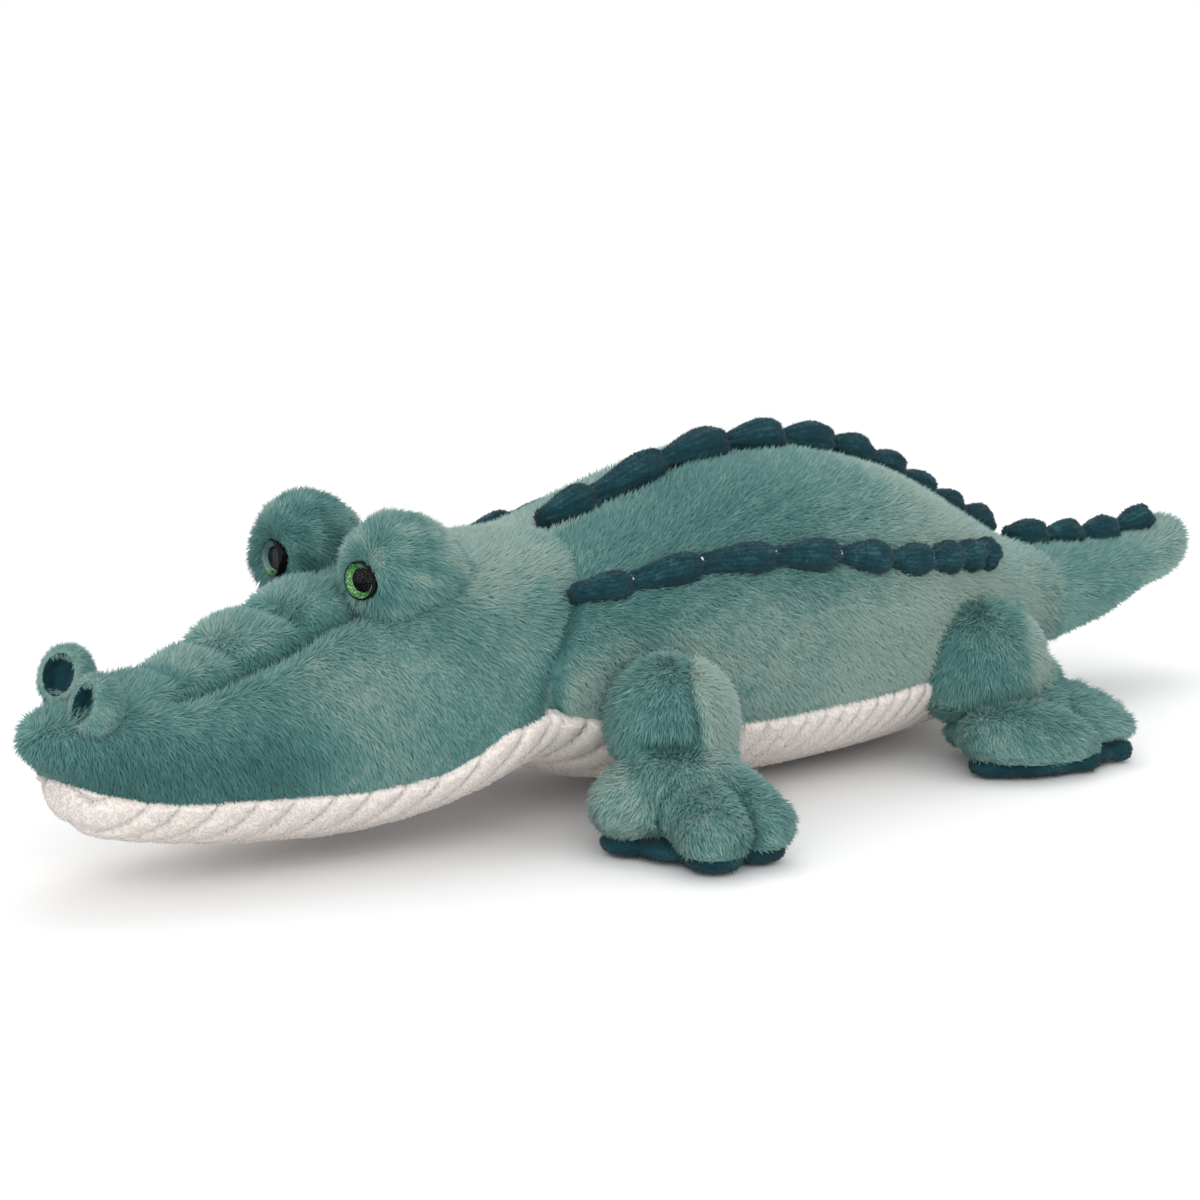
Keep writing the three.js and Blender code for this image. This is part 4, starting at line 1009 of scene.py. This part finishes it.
def make_leg(end, leg, hand, way):
    body, front = f"{end}_leg_{hand}", end == "front"
    hip, ankle, mirror = np.array(leg["hip"]), leg["ankle"], np.array([way, 1, 1])
    skin = lump(f"{end}_leg_plush_{hand}", leg_balls(leg, way), 1.5, leg["smoothing"], cloth("fur_backing"))
    own = points_of(skin) * mirror  # as on the left leg

    # Seam between the front and the back panel of the limb, and the crease over the foot
    past_seam = (own[:, :2] - hip) @ SEAM_WAY - 9.5 + 4.5 * ease(ankle + 4, leg["top"], own[:, 2])
    seam = bell(past_seam, 1.6) * region(own, ("z", ankle - 2, ankle + 6)) * front
    crease = bell(own[:, 2] - ankle, 2.4) * front * ease(1, -4, past_seam) * ease(-26, -15, past_seam)
    valley = between_toes(leg, own)
    drawn_in = LIMB_SEAM_DEPTH * seam + CREASE_DEPTH * crease + TOE_VALLEY_DEPTH * valley
    own -= normals_of(skin) * mirror * drawn_in[:, None]
    own[:, 2] -= 0.9 * np.minimum(own[:, 2] - (SOLE_TOP - 1.2), 0)  # nearly flat where the sole hides it
    move_points(skin, own * mirror)

    # Brushed out from the limb and down; the panel behind the seam lies the other way and is painted paler, as painted
    # sheen
    out = own[:, :2] - hip
    toward = out / np.maximum(np.linalg.norm(out, axis=1), 1)[:, None]
    low = region(own, ("z", ankle + 4, ankle - 8))
    comb = np.column_stack([toward * (0.3 + 1.1 * low)[:, None], -1.0 + 0.5 * low]) * mirror
    to_tips = [np.linalg.norm(own - tip, axis=1) for _, tip, _ in leg["toes"]]
    if front:
        pale_panel = ease(-1, 2, past_seam) * (1 - 0.5 * ease(17, 28, past_seam)) * region(
            own, ("z", ankle - 12, ankle + 4))
    else:
        pale_panel = ease(7, 11, past_seam) * ease(21, 15, past_seam) * region(own, ("z", 28, 36))
    # Painted sheen on the pale panel, painted light on the feet and toe tips, painted shade in the seam, the crease and
    # the valleys between toes
    parts = {"pale_panel": pale_panel, f"{end}_foot": low, "toe_tips": low * ease(17, 8, np.min(to_tips, axis=0)),
             "near_toe": ease(18, 8, to_tips[0]) * front, "seam": seam, "crease": crease, "valley": valley}
    tone = tone_of(own * mirror, LEG_TONE) + sum(LEG_TONE[name] * value for name, value in parts.items())
    hidden = (own[:, 2] > ankle + 2) & (own[:, 0] < hip[0] - 14)
    brush(skin, comb, pile=region(own, ("z", SOLE_TOP - 1.5, SOLE_TOP + 1)) * (1 - 0.7 * seam) * ~hidden, tone=tone,
          long=1 - 0.4 * seam - 0.4 * valley - 0.4 * region(own, ("z", SOLE_TOP + 8, SOLE_TOP)))
    fur = grow_fur(skin, f"{end}_leg_fur_{hand}", (500 if front else 550) + int(way))
    dress([skin], "teal_plush", body)
    dress(fur, "teal_plush", body)
    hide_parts(f"{end}_leg_cover_{hand}", f"{end}_foot_cover_{hand}", f"{end}_leg_filling_{hand}")


def make_sole(end, leg, hand, way):
    """The sole: the toes' outline, drawn in, with a rounded underside."""
    body, half = f"{end}_leg_{hand}", SOLE_TOP / 2 + 1
    webs = [((way * x, y, half), (reach, reach, half), 0.0) for (x, y), reach in leg["webs"]]
    sole = lump(f"{end}_sole_velour_{hand}", webs + toe_balls(leg, way, SOLE_INSET, half), 1.2, 3, cloth("teal_velour"))
    flat = points_of(sole)
    flat[:, 2] -= 0.7 * np.minimum(flat[:, 2] - 0.8, 0)
    flat[:, 2] = np.clip(flat[:, 2], 0.15, 10.0)
    move_points(sole, flat)
    (x, y), _ = leg["webs"][0]
    brush(sole, (flat - [way * x, y, 0]) * [1, 1, 0], pile=ease(1.0, 2.5, flat[:, 2]),
          tone=tone_of(flat, SOLE_TONE))
    nap = grow_nap(sole, f"{end}_sole_nap_{hand}", 620, density=1.7, width=0.5, lean=0.8)
    dress([sole], "dark_velour", body)
    dress(nap, "dark_velour", body)
    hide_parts(f"{end}_sole_{hand}")


# Ridges

def back_at(part, y, reach):
    """Points and outward directions on top of a part at places along Y and reaches from its middle."""
    place = ((y - part["start"]) / part["length"])[:, None]
    fine = np.linspace(0.001, np.pi / 2, 400)[None]
    section = on_part(part, place + 0 * fine, fine + 0 * place, -SKIN_INSET)
    found = np.argmin(np.abs(section[..., 0] - np.abs(reach)[:, None]), axis=1)
    rows, last = np.arange(len(y)), fine.size - 1
    step = section[rows, np.minimum(found + 1, last)] - section[rows, np.maximum(found - 1, 0)]
    out = unit(np.stack([step[:, 2], 0 * y, -step[:, 0]], -1))
    mirror = np.where(reach[:, None] < 0, [-1.0, 1.0, 1.0], 1.0)
    return section[rows, found] * mirror, out * mirror


THREAD_GIRTH, STITCH_START, STITCH_SWEEP = 0.11, 72, 36  # the thread's, as a share of a cinch's; degrees round it


def stitch_tree():
    """Thread: a short arc of thread over each cinch of a ridge."""
    tree, given = new_geometry_tree("Stitches", Cinches="Geometry", Thread="Material")
    read = calculator(tree)[-1]
    arc = add(tree, "GeometryNodeCurveArc", {"mode": "RADIUS"}, {
        "Resolution": 9, "Radius": 1.0, "Start Angle": math.radians(STITCH_START),
        "Sweep Angle": math.radians(STITCH_SWEEP)})
    cross = add(tree, "GeometryNodeCurvePrimitiveCircle", {"mode": "RADIUS"}, {"Resolution": 6, "Radius": THREAD_GIRTH})
    loop = add(tree, "GeometryNodeCurveToMesh", None, {
        "Curve": arc.outputs[0], "Profile Curve": cross.outputs[0], "Fill Caps": True})
    turn = add(tree, "FunctionNodeAxesToRotation", {"primary_axis": "Z", "secondary_axis": "Y"}, {
        "Primary Axis": read("ahead", "FLOAT_VECTOR"), "Secondary Axis": read("out", "FLOAT_VECTOR")})
    girth = read("girth")
    placed = add(tree, "GeometryNodeInstanceOnPoints", None, {
        "Points": given["Cinches"], "Instance": loop.outputs[0], "Rotation": turn.outputs[0],
        "Scale": xyz(tree, X=girth, Y=girth, Z=girth)})
    whole = add(tree, "GeometryNodeRealizeInstances", None, {0: placed.outputs[0]})
    shaded = add(tree, "GeometryNodeSetMaterial", None, {"Geometry": whole.outputs[0], "Material": given["Thread"]})
    add(tree, "NodeGroupOutput", None, {0: shaded.outputs[0]})
    return tree


def thread_material():
    """Glazed polyester sewing thread: smooth and white, with a soft shine."""
    held = bpy.data.materials.get("white_thread")
    if held:
        return held
    material, tree, shader = new_material("white_thread")
    twist = add(tree, "ShaderNodeTexNoise", None, {"Vector": object_place(tree), "Scale": 1 / (0.5 * MM)})
    thread = tuple(colours().thread)
    feed(shader, {"Base Color": ramp_of(tree, twist.outputs["Fac"], [(0.3, darker(thread, 0.85)), (0.7, thread)]),
                  "Roughness": 0.45})
    return material


def make_stitches(name, centre, ahead, out, girth):
    """White thread where the velour is gathered."""
    marks = bpy.data.meshes.new(name + "_cinches")
    marks.from_pydata((centre * MM).tolist(), [], [])
    thread = new_object(name, marks)
    for label, values in (("ahead", ahead), ("out", out), ("girth", girth * MM)):
        mark(thread, label, values)
    run_tree(thread, bpy.data.node_groups.get("Stitches") or stitch_tree(), {"Thread": thread_material()})
    thread.data.materials.clear()
    thread.data.materials.append(thread_material())
    return thread


def make_ridge(name, part, cinches, reach_at, girths, body, node, seed, joint=None):
    """A tube of velour, gathered into teardrops by a stitch at each cinch. Its girths are the radius of a bulb at
    the front, and what it gains to the back."""
    # Places along the ridge, each bulb's own radius there as a share, and how near its cinches are
    within = np.arange(RIDGE_STEPS) / RIDGE_STEPS
    bulbs = len(cinches) - 1
    y = np.append(np.add.outer(cinches[:-1], 0 * within) + np.outer(np.diff(cinches), within), cinches[-1])
    share = np.append(np.tile(read_table(BULB, within)[:, 0], bulbs), CINCH_SHARE)
    share[0] = CINCH_SHARE
    close = np.append(np.tile(np.maximum(bell(within, 0.16), bell(1 - within, 0.12)), bulbs), 1.0)
    share += 0.22 * (1 - share) * ease(30, -20, y) * (part is BODY)  # the front is gathered more loosely

    full = girths[0] + girths[1] * (y - y[0]) / (y[-1] - y[0])
    radius = full * share
    foot, out = back_at(part, y, reach_at(y))
    centre = foot + out * (RIDGE_SEAT * full)[:, None]
    ahead = unit(np.gradient(centre, axis=0))
    across = unit(np.cross(ahead, out))
    upward = np.cross(across, ahead)
    angle = angles(RIDGE_SIDES)
    folds = np.cos(5 * angle + 2.0 * np.sin(y / 9)[:, None]) + 0.7 * np.cos(9 * angle + y[:, None] / 7)
    swell = radius[:, None] * (1 + (0.035 + 0.13 * close[:, None]) * folds)
    rings = (centre[:, None] + across[:, None] * (swell * np.cos(angle))[..., None]
             + upward[:, None] * (swell * np.sin(angle) * 1.06)[..., None])
    piece = closed_piece(name, rings, cloth("teal_velour"))

    # Paler on top as painted light and paler along the wales, darker in the gathers as painted shade; no pile on the
    # poles at both ends
    points = points_of(piece)
    row = np.append(np.repeat(np.arange(len(y)), RIDGE_SIDES), [0, len(y) - 1])
    wale = np.cos(17 * np.append(np.tile(angle, len(y)), [0, 0]))
    from_middle = points - centre[row]
    top = ease(0.1, 0.9, (unit(from_middle) * out[row]).sum(1))
    tone = (tone_of(points, RIDGE_TONE, seed) + RIDGE_TONE["wale"] * wale + RIDGE_TONE["top"] * top
            + RIDGE_TONE["gather"] * close[row])
    brush(piece, ahead[row], pile=np.linalg.norm(from_middle, axis=1) > 0.2, tone=tone)
    nap = grow_nap(piece, name.replace("velour", "nap"), seed, density=1.9, width=0.54, lean=0.85, clump=0.8)
    held = np.arange(1, bulbs) * RIDGE_STEPS
    thread = make_stitches(name.replace("velour", "thread"), centre[held], ahead[held], out[held], radius[held] + 0.5)
    dress([piece], "dark_velour", body, joint)
    dress(nap + [thread], "dark_velour", body, joint)
    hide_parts(node)


def make_ridges():
    middle = lambda y: 0 * y
    make_ridge("spine_velour", BODY, SPINE_CINCHES, middle, SPINE_GIRTHS, "torso", "spine_ridge", 700)
    for hand, way in HANDS:
        reach = lambda y: way * read_table(SIDE_REACH, (y - BODY["start"]) / BODY["length"])[:, 0]
        make_ridge(f"side_velour_{hand}", BODY, SIDE_CINCHES, reach, SIDE_GIRTHS, "torso", f"side_ridge_{hand}",
                   720 + int(way))
    make_ridge("tail_velour", TAIL, TAIL_CINCHES, middle, TAIL_GIRTHS, None, "tail_ridge", 740, TAIL_ROOT)


# Eye mounds and eyes

def ball_rings(middle, halves, rings=48, sides=64):
    """Rings of a stretched ball, and the way out at each of its points."""
    tilt, turn = np.meshgrid(np.linspace(0.03, np.pi - 0.03, rings), angles(sides), indexing="ij")
    out = np.stack([np.sin(tilt) * np.cos(turn), np.sin(tilt) * np.sin(turn), np.cos(tilt)], -1)
    return middle + out * halves, out


def facing(way, turn, tilt=0.0):
    """The way forward, turned outward and tilted up."""
    return np.array([way * math.sin(turn) * math.cos(tilt), -math.cos(turn) * math.cos(tilt), math.sin(tilt)])


def eye_seat(way):
    """Where an eye is set, and the way that it looks."""
    seat_turn, deeper = EYE_SEATS[int(way)]
    toward = facing(way, seat_turn)
    reach = 1 / np.linalg.norm(toward / (np.array(MOUND_HALF) + 1.3)) - EYE_SINK - deeper
    middle = np.array(MOUND_MIDDLE) * [way, 1, 1]
    return middle + toward * reach - np.array([0, 0, EYE_DROP]), facing(way, EYE_TURN)


def make_mound(hand, way):
    mirror = np.array([way, 1, 1])
    middle = np.array(MOUND_MIDDLE) * mirror
    rings, ball = ball_rings(middle, MOUND_HALF)
    seat, look = eye_seat(way)
    # A dent that seats the eye, and the two dimples that shape the brow
    dimples = [(middle + np.array(spot) * mirror, depth, width) for spot, depth, width in BROW_DIMPLES]
    for spot, depth, width in [(seat + look * 5.0, 5.0, 7.5)] + dimples:
        rings = rings - ball * (depth * bell(np.linalg.norm(rings - spot, axis=-1), width))[..., None]
    rings = rings + ball * (0.7 * wobble(rings, 16, 31))[..., None]
    # The back of the mound runs out and down onto the head
    behind = np.clip((rings[..., 1] - middle[1]) / MOUND_HALF[1], 0, 1)
    rings = rings + np.stack([-way * 4.0 * behind**2, MOUND_TAIL[int(way)] * behind**1.6, -11.0 * behind**2], -1)
    skin = closed_piece(f"eye_mound_plush_{hand}", rings, cloth("fur_backing"))

    # The fur lies away from the eye, which stays bare, and stands longer under the mound
    points = points_of(skin)
    from_eye = points - (seat + look * 1.5)
    along = from_eye @ look
    off = np.linalg.norm(from_eye - along[:, None] * look, axis=1)
    bare = (along > -9) & (off < EYE_RADIUS - 0.4)
    _, back, up = (points - middle).T
    # Painted shade on the far mound, painted light on top and painted sheen towards the back
    tone = (tone_of(points, MOUND_TONE) + MOUND_TONE["far"] * (way < 0) + MOUND_TONE["top"] * ease(6, 14, up)
            + MOUND_TONE["back"] * ease(2, 22, back) * ease(-6, 6, up))
    brush(skin, unit(from_eye - [0, 0, 6]) + [0, 0.1, -0.5], pile=(points[:, 2] > 70) & ~bare, tone=tone,
          long=0.85 + 0.45 * ease(4, -14, up) - 0.35 * bell(off - EYE_RADIUS, 3.0))
    fur = grow_fur(skin, f"eye_mound_fur_{hand}", 800 + int(way), density=2.6, width=0.6, lean=0.9, clump=0.8,
                   clump_size=4.0)
    dress([skin], "teal_plush", None, NECK)
    dress(fur, "teal_plush", None, NECK)
    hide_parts(f"eye_mound_{hand}", f"eye_mound_filling_{hand}")


def turned_piece(name, outline, seat, look, material, sides=64, tall=1.0):
    """A piece turned round an axis, from pairs of radius and height, and stretched upward by a share."""
    side = unit(np.cross(look, [0, 0, 1]))
    up = np.cross(side, look) * tall
    angle = angles(sides)
    rings = np.array([seat + look * h + r * (np.cos(angle)[:, None] * side + np.sin(angle)[:, None] * up)
                      for r, h in outline])
    return closed_piece(name, rings, material)


def eye_materials():
    """Moulded eye plastics, made once: black, green glitter and the clear dome."""
    names = ("black_acrylic", "green_glitter", "clear_acrylic")
    if bpy.data.materials.get(names[0]):
        return [bpy.data.materials[name] for name in names]
    black, tree, shader = new_material(names[0])
    smear = add(tree, "ShaderNodeTexNoise", None, {"Vector": object_place(tree), "Scale": 1 / (3 * MM)})
    feed(shader, {"Base Color": ramp_of(tree, smear.outputs["Fac"], [(0.3, srgb("#08090a")), (0.7, srgb("#0d0f10"))]),
                  "Roughness": 0.15, "Specular IOR Level": 0.15})
    # Glitter: flakes 0.4 mm across in lacquer, each painted lighter or darker as a painted glint of the light it
    # catches its own way
    glitter, tree, shader = new_material(names[1])
    flakes = add(tree, "ShaderNodeTexVoronoi", None, {"Vector": object_place(tree), "Scale": 1 / (0.38 * MM)})
    value = add(tree, "ShaderNodeSeparateXYZ", None, {0: flakes.outputs["Color"]}).outputs["X"]
    green = tuple(colours().glitter)
    sparkle = [(0.0, darker(green, 0.06)), (0.5, darker(green, 0.3)), (0.8, green), (1.0, srgb("#8fe87a"))]
    feed(shader, {"Base Color": ramp_of(tree, value, sparkle), "Roughness": 0.4, "Coat Weight": 1.0,
                  "Coat Roughness": 0.05})
    # Clear as glass, but bending the light less, so that the ring behind it shows in full
    clear, _, shader = new_material(names[2])
    feed(shader, {"Base Color": (1, 1, 1, 1), "Transmission Weight": 1.0, "Roughness": 0.02, "IOR": 1.15})
    return [black, glitter, clear]


def make_eye(hand, way):
    """A moulded eye: a black cup with its pupil, a ring of glitter in it, and a clear dome over both."""
    black, glitter, clear = eye_materials()
    seat, look = eye_seat(way)
    r, pupil = EYE_RADIUS, EYE_PUPIL
    cup = [(0.5, -3.6), (r - 1.6, -3.6), (r, -1.6), (r, 0.9), (r - 0.35, 1.3), (r - 0.75, 1.2), (r - 0.9, 0.3),
           (pupil, -1.8), (pupil - 0.2, -1.1), (pupil - 0.6, -0.8), (2.2, -0.5), (0.4, -0.4)]
    ring = [(pupil - 0.3, -2.2), (5.3, -1.2), (r - 0.75, 0.1), (r - 0.75, 0.9), (5.2, 0.1), (4.3, -0.8),
            (pupil - 0.3, -1.3)]
    dome = [(0.4, -0.9), (pupil - 0.3, -1.0), (r - 0.7, 0.0)] + [
        ((r - 0.6) * math.cos(a), DOME_RIM + DOME_RISE * math.sin(a)) for a in np.linspace(0, 1.52, 24)]
    for name, outline, material, slot, node in (
            ("cup", cup, black, "eye_plastic", "washer"), ("glitter", ring, glitter, "eye_glitter", "iris"),
            ("dome", dome, clear, "eye_plastic", "lens")):
        piece = turned_piece(f"eye_{name}_{hand}", outline, seat, look, material)
        dress([piece], slot, "head")
        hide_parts(f"eye_{node}_{hand}")


# Nostrils

def smooth_outline(corners, count):
    """A smooth run of places through the corners of an outline."""
    return read_table([[i, *corner] for i, corner in enumerate(corners)], np.linspace(0, len(corners) - 1, count))


def make_nostril(hand, way):
    """A cone of plush folded round its mouth, with a rim, a throat and a full back, and its velour lining."""
    middle, turn = NOSTRILS[int(way)]
    look = facing(-way, turn, NOSTRIL_TILT)
    skin = turned_piece(f"nostril_plush_{hand}", smooth_outline(NOSTRIL_OUTLINE, 60), middle, look,
                        cloth("fur_backing"), tall=NOSTRIL_TALL)
    points = points_of(skin)
    along = (points - middle) @ look
    off = points - middle - along[:, None] * look
    mouth = (np.linalg.norm(off, axis=1) < 6.8) & (along > -2)
    tone = tone_of(points, HOOD_TONE) + HOOD_TONE["rim"] * ease(2, 6, along)
    brush(skin, unit(off) * 0.5 - look * 0.4 + [0, 0.3, -0.6], pile=~mouth, tone=tone,
          long=0.8 - 0.35 * ease(3, 6, along))
    fur = grow_fur(skin, f"nostril_fur_{hand}", 900 + int(way), length=0.8, density=3.6, width=0.4, spread=0.4)

    lining = turned_piece(f"nostril_velour_{hand}", smooth_outline(LINING_OUTLINE, 48), middle, look,
                          cloth("teal_velour"), tall=NOSTRIL_TALL)
    inside = points_of(lining)
    brush(lining, np.tile(look, (len(inside), 1)), pile=(inside - middle) @ look > 0.8,
          tone=tone_of(inside, LINING_TONE))
    nap = grow_nap(lining, f"nostril_nap_{hand}", 930 + int(way), density=4.5, width=0.32, lean=0.6, length=0.8)
    dress([skin], "teal_plush", "head")
    dress(fur, "teal_plush", "head")
    dress([lining] + nap, "dark_velour", "head")
    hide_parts(f"nostril_hood_{hand}")
    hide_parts(f"nostril_lining_{hand}")


# Stage

CAMERA_TARGET, CAMERA_DISTANCE, CAMERA_TURN, CAMERA_RISE, CAMERA_LENS = (0, -0.0325, 0.07), 1.7, 49.0, 12.0, 140.25
FLOOR_REACH, SHADOW_REACH, PAPER_FROM = 6.0, 0.42, 0.8  # the shadow is kept so far, and plain white starts so far
LAMPS = (("key", (-0.7, 0.6, 2.2), 1.6, 12.0), ("fill", (1.8, -1.6, 1.3), 1.8, 24.0))  # place, size and power


def make_camera(scene):
    turn, rise = math.radians(CAMERA_TURN), math.radians(CAMERA_RISE)
    back = Vector((math.sin(turn) * math.cos(rise), -math.cos(turn) * math.cos(rise), math.sin(rise)))
    data = bpy.data.cameras.new("camera")
    data.lens, data.sensor_width, data.clip_start, data.clip_end = CAMERA_LENS, 36.0, 0.05, 20.0
    camera = new_object("camera", data)
    camera.location = Vector(CAMERA_TARGET) + back * CAMERA_DISTANCE
    camera.rotation_euler = back.to_track_quat("Z", "Y").to_euler()
    scene.camera = camera
    scene.view_settings.view_transform = "Standard"


def make_floor():
    """White paper: near the toy it keeps the shadow, farther off it runs out into plain white."""
    white, tree, shader = new_material("white_floor")
    feed(shader, {"Base Color": srgb("#f4f4f4"), "Roughness": 0.9, "Specular IOR Level": 0.0})
    apart = add(tree, "ShaderNodeVectorMath", {"operation": "LENGTH"}, {0: object_place(tree)}).outputs["Value"]
    off = add(tree, "ShaderNodeMapRange", {"interpolation_type": "SMOOTHSTEP"}, {
        "Value": apart, "From Min": SHADOW_REACH, "From Max": PAPER_FROM}).outputs[0]
    seen = add(tree, "ShaderNodeLightPath").outputs["Is Camera Ray"]
    glow = add(tree, "ShaderNodeEmission", None, {"Color": (1, 1, 1, 1), "Strength": 1.0})
    faded = add(tree, "ShaderNodeMath", {"operation": "MULTIPLY"}, {0: seen, 1: off}).outputs[0]
    both = add(tree, "ShaderNodeMixShader", None, {0: faded, 1: shader.outputs[0], 2: glow.outputs[0]})
    feed(tree.nodes["Material Output"], {"Surface": both.outputs[0]})
    mesh = bpy.data.meshes.new("floor")
    r = FLOOR_REACH
    mesh.from_pydata([(-r, -r, 0), (r, -r, 0), (r, r, 0), (-r, r, 0)], [], [(0, 1, 2, 3)])
    new_object("floor", mesh, white)


def make_world(scene):
    """A plain white room: full white to the camera, a little less as light."""
    scene.world = bpy.data.worlds.new("studio")
    scene.world.use_nodes = True
    tree = scene.world.node_tree
    path = add(tree, "ShaderNodeLightPath").outputs
    shown = add(tree, "ShaderNodeMath", {"operation": "MAXIMUM"}, {
        0: path["Is Camera Ray"], 1: path["Is Transmission Ray"]})
    strength = add(tree, "ShaderNodeMath", {"operation": "MAXIMUM"}, {0: shown.outputs[0], 1: 0.98})
    feed(tree.nodes["Background"], {"Color": (1, 1, 1, 1), "Strength": strength.outputs[0]})


def make_stage():
    scene = bpy.context.scene
    make_camera(scene)
    make_floor()
    make_world(scene)
    for name, place, size, power in LAMPS:
        lamp = bpy.data.lights.new(name, "AREA")
        lamp.size, lamp.energy = size, power
        light = new_object(name, lamp)
        light.location = place
        light.visible_glossy = name == "key"
        light.rotation_euler = (Vector(place) - Vector((0, 0, 0.05))).to_track_quat("Z", "Y").to_euler()


# The add-on: one operator for each piece or group of like pieces

class CrocOperator:
    bl_options = {"REGISTER", "UNDO"}

    def execute(self, context):
        self.build()
        return {"FINISHED"}


class CROC_OT_stage(CrocOperator, bpy.types.Operator):
    """Makes the floor, the lamps, the world and the camera"""
    bl_idname = "croc.stage"
    bl_label = "Stage"
    build = staticmethod(make_stage)


class CROC_OT_head(CrocOperator, bpy.types.Operator):
    """Makes the head's plush with its quilted bridge"""
    bl_idname = "croc.head"
    bl_label = "Head"
    build = staticmethod(make_head)


class CROC_OT_torso(CrocOperator, bpy.types.Operator):
    """Makes the body's plush"""
    bl_idname = "croc.torso"
    bl_label = "Body"
    build = staticmethod(make_torso)


class CROC_OT_tail(CrocOperator, bpy.types.Operator):
    """Makes the tail's plush"""
    bl_idname = "croc.tail"
    bl_label = "Tail"
    build = staticmethod(make_tail)


class CROC_OT_panels(CrocOperator, bpy.types.Operator):
    """Makes the ribbed cream cloth of jaw and belly"""
    bl_idname = "croc.panels"
    bl_label = "Jaw and belly cloth"
    build = staticmethod(make_panels)


class CROC_OT_legs(CrocOperator, bpy.types.Operator):
    """Makes the four legs with their toes and soles"""
    bl_idname = "croc.legs"
    bl_label = "Legs"

    @staticmethod
    def build():
        for end, leg in (("front", FRONT), ("rear", REAR)):
            for hand, way in HANDS:
                make_leg(end, leg, hand, way)
                make_sole(end, leg, hand, way)


class CROC_OT_ridges(CrocOperator, bpy.types.Operator):
    """Makes the gathered velour ridges and their stitches"""
    bl_idname = "croc.ridges"
    bl_label = "Ridges"
    build = staticmethod(make_ridges)


class CROC_OT_eyes(CrocOperator, bpy.types.Operator):
    """Makes the eye mounds and the eyes"""
    bl_idname = "croc.eyes"
    bl_label = "Eyes"

    @staticmethod
    def build():
        for hand, way in HANDS:
            make_mound(hand, way)
            make_eye(hand, way)


class CROC_OT_nostrils(CrocOperator, bpy.types.Operator):
    """Makes the nostril hoods and their linings"""
    bl_idname = "croc.nostrils"
    bl_label = "Nostrils"

    @staticmethod
    def build():
        for hand, way in HANDS:
            make_nostril(hand, way)


OPERATORS = (CROC_OT_stage, CROC_OT_head, CROC_OT_torso, CROC_OT_tail, CROC_OT_panels, CROC_OT_legs, CROC_OT_ridges,
             CROC_OT_eyes, CROC_OT_nostrils)


class CROC_PT_pieces(bpy.types.Panel):
    """Lists the sizes, the colours and the pieces of the crocodile."""
    bl_label = "Plush crocodile"
    bl_space_type = "VIEW_3D"
    bl_region_type = "UI"
    bl_category = "Plush"

    def draw(self, context):
        for group in (context.scene.croc_sizes, context.scene.croc_colours):
            for name in group.__annotations__:
                self.layout.prop(group, name)
        for operator in OPERATORS:
            self.layout.operator(operator.bl_idname)


CLASSES = (CrocSizes, CrocColours, *OPERATORS, CROC_PT_pieces)


def register():
    for kind in CLASSES:
        bpy.utils.register_class(kind)
    bpy.types.Scene.croc_sizes = bpy.props.PointerProperty(type=CrocSizes)
    bpy.types.Scene.croc_colours = bpy.props.PointerProperty(type=CrocColours)


def unregister():
    del bpy.types.Scene.croc_colours
    del bpy.types.Scene.croc_sizes
    for kind in reversed(CLASSES):
        bpy.utils.unregister_class(kind)


def main():
    register()
    for operator in OPERATORS:
        getattr(bpy.ops.croc, operator.bl_idname.split(".")[1])()


if __name__ == "__main__":
    main()
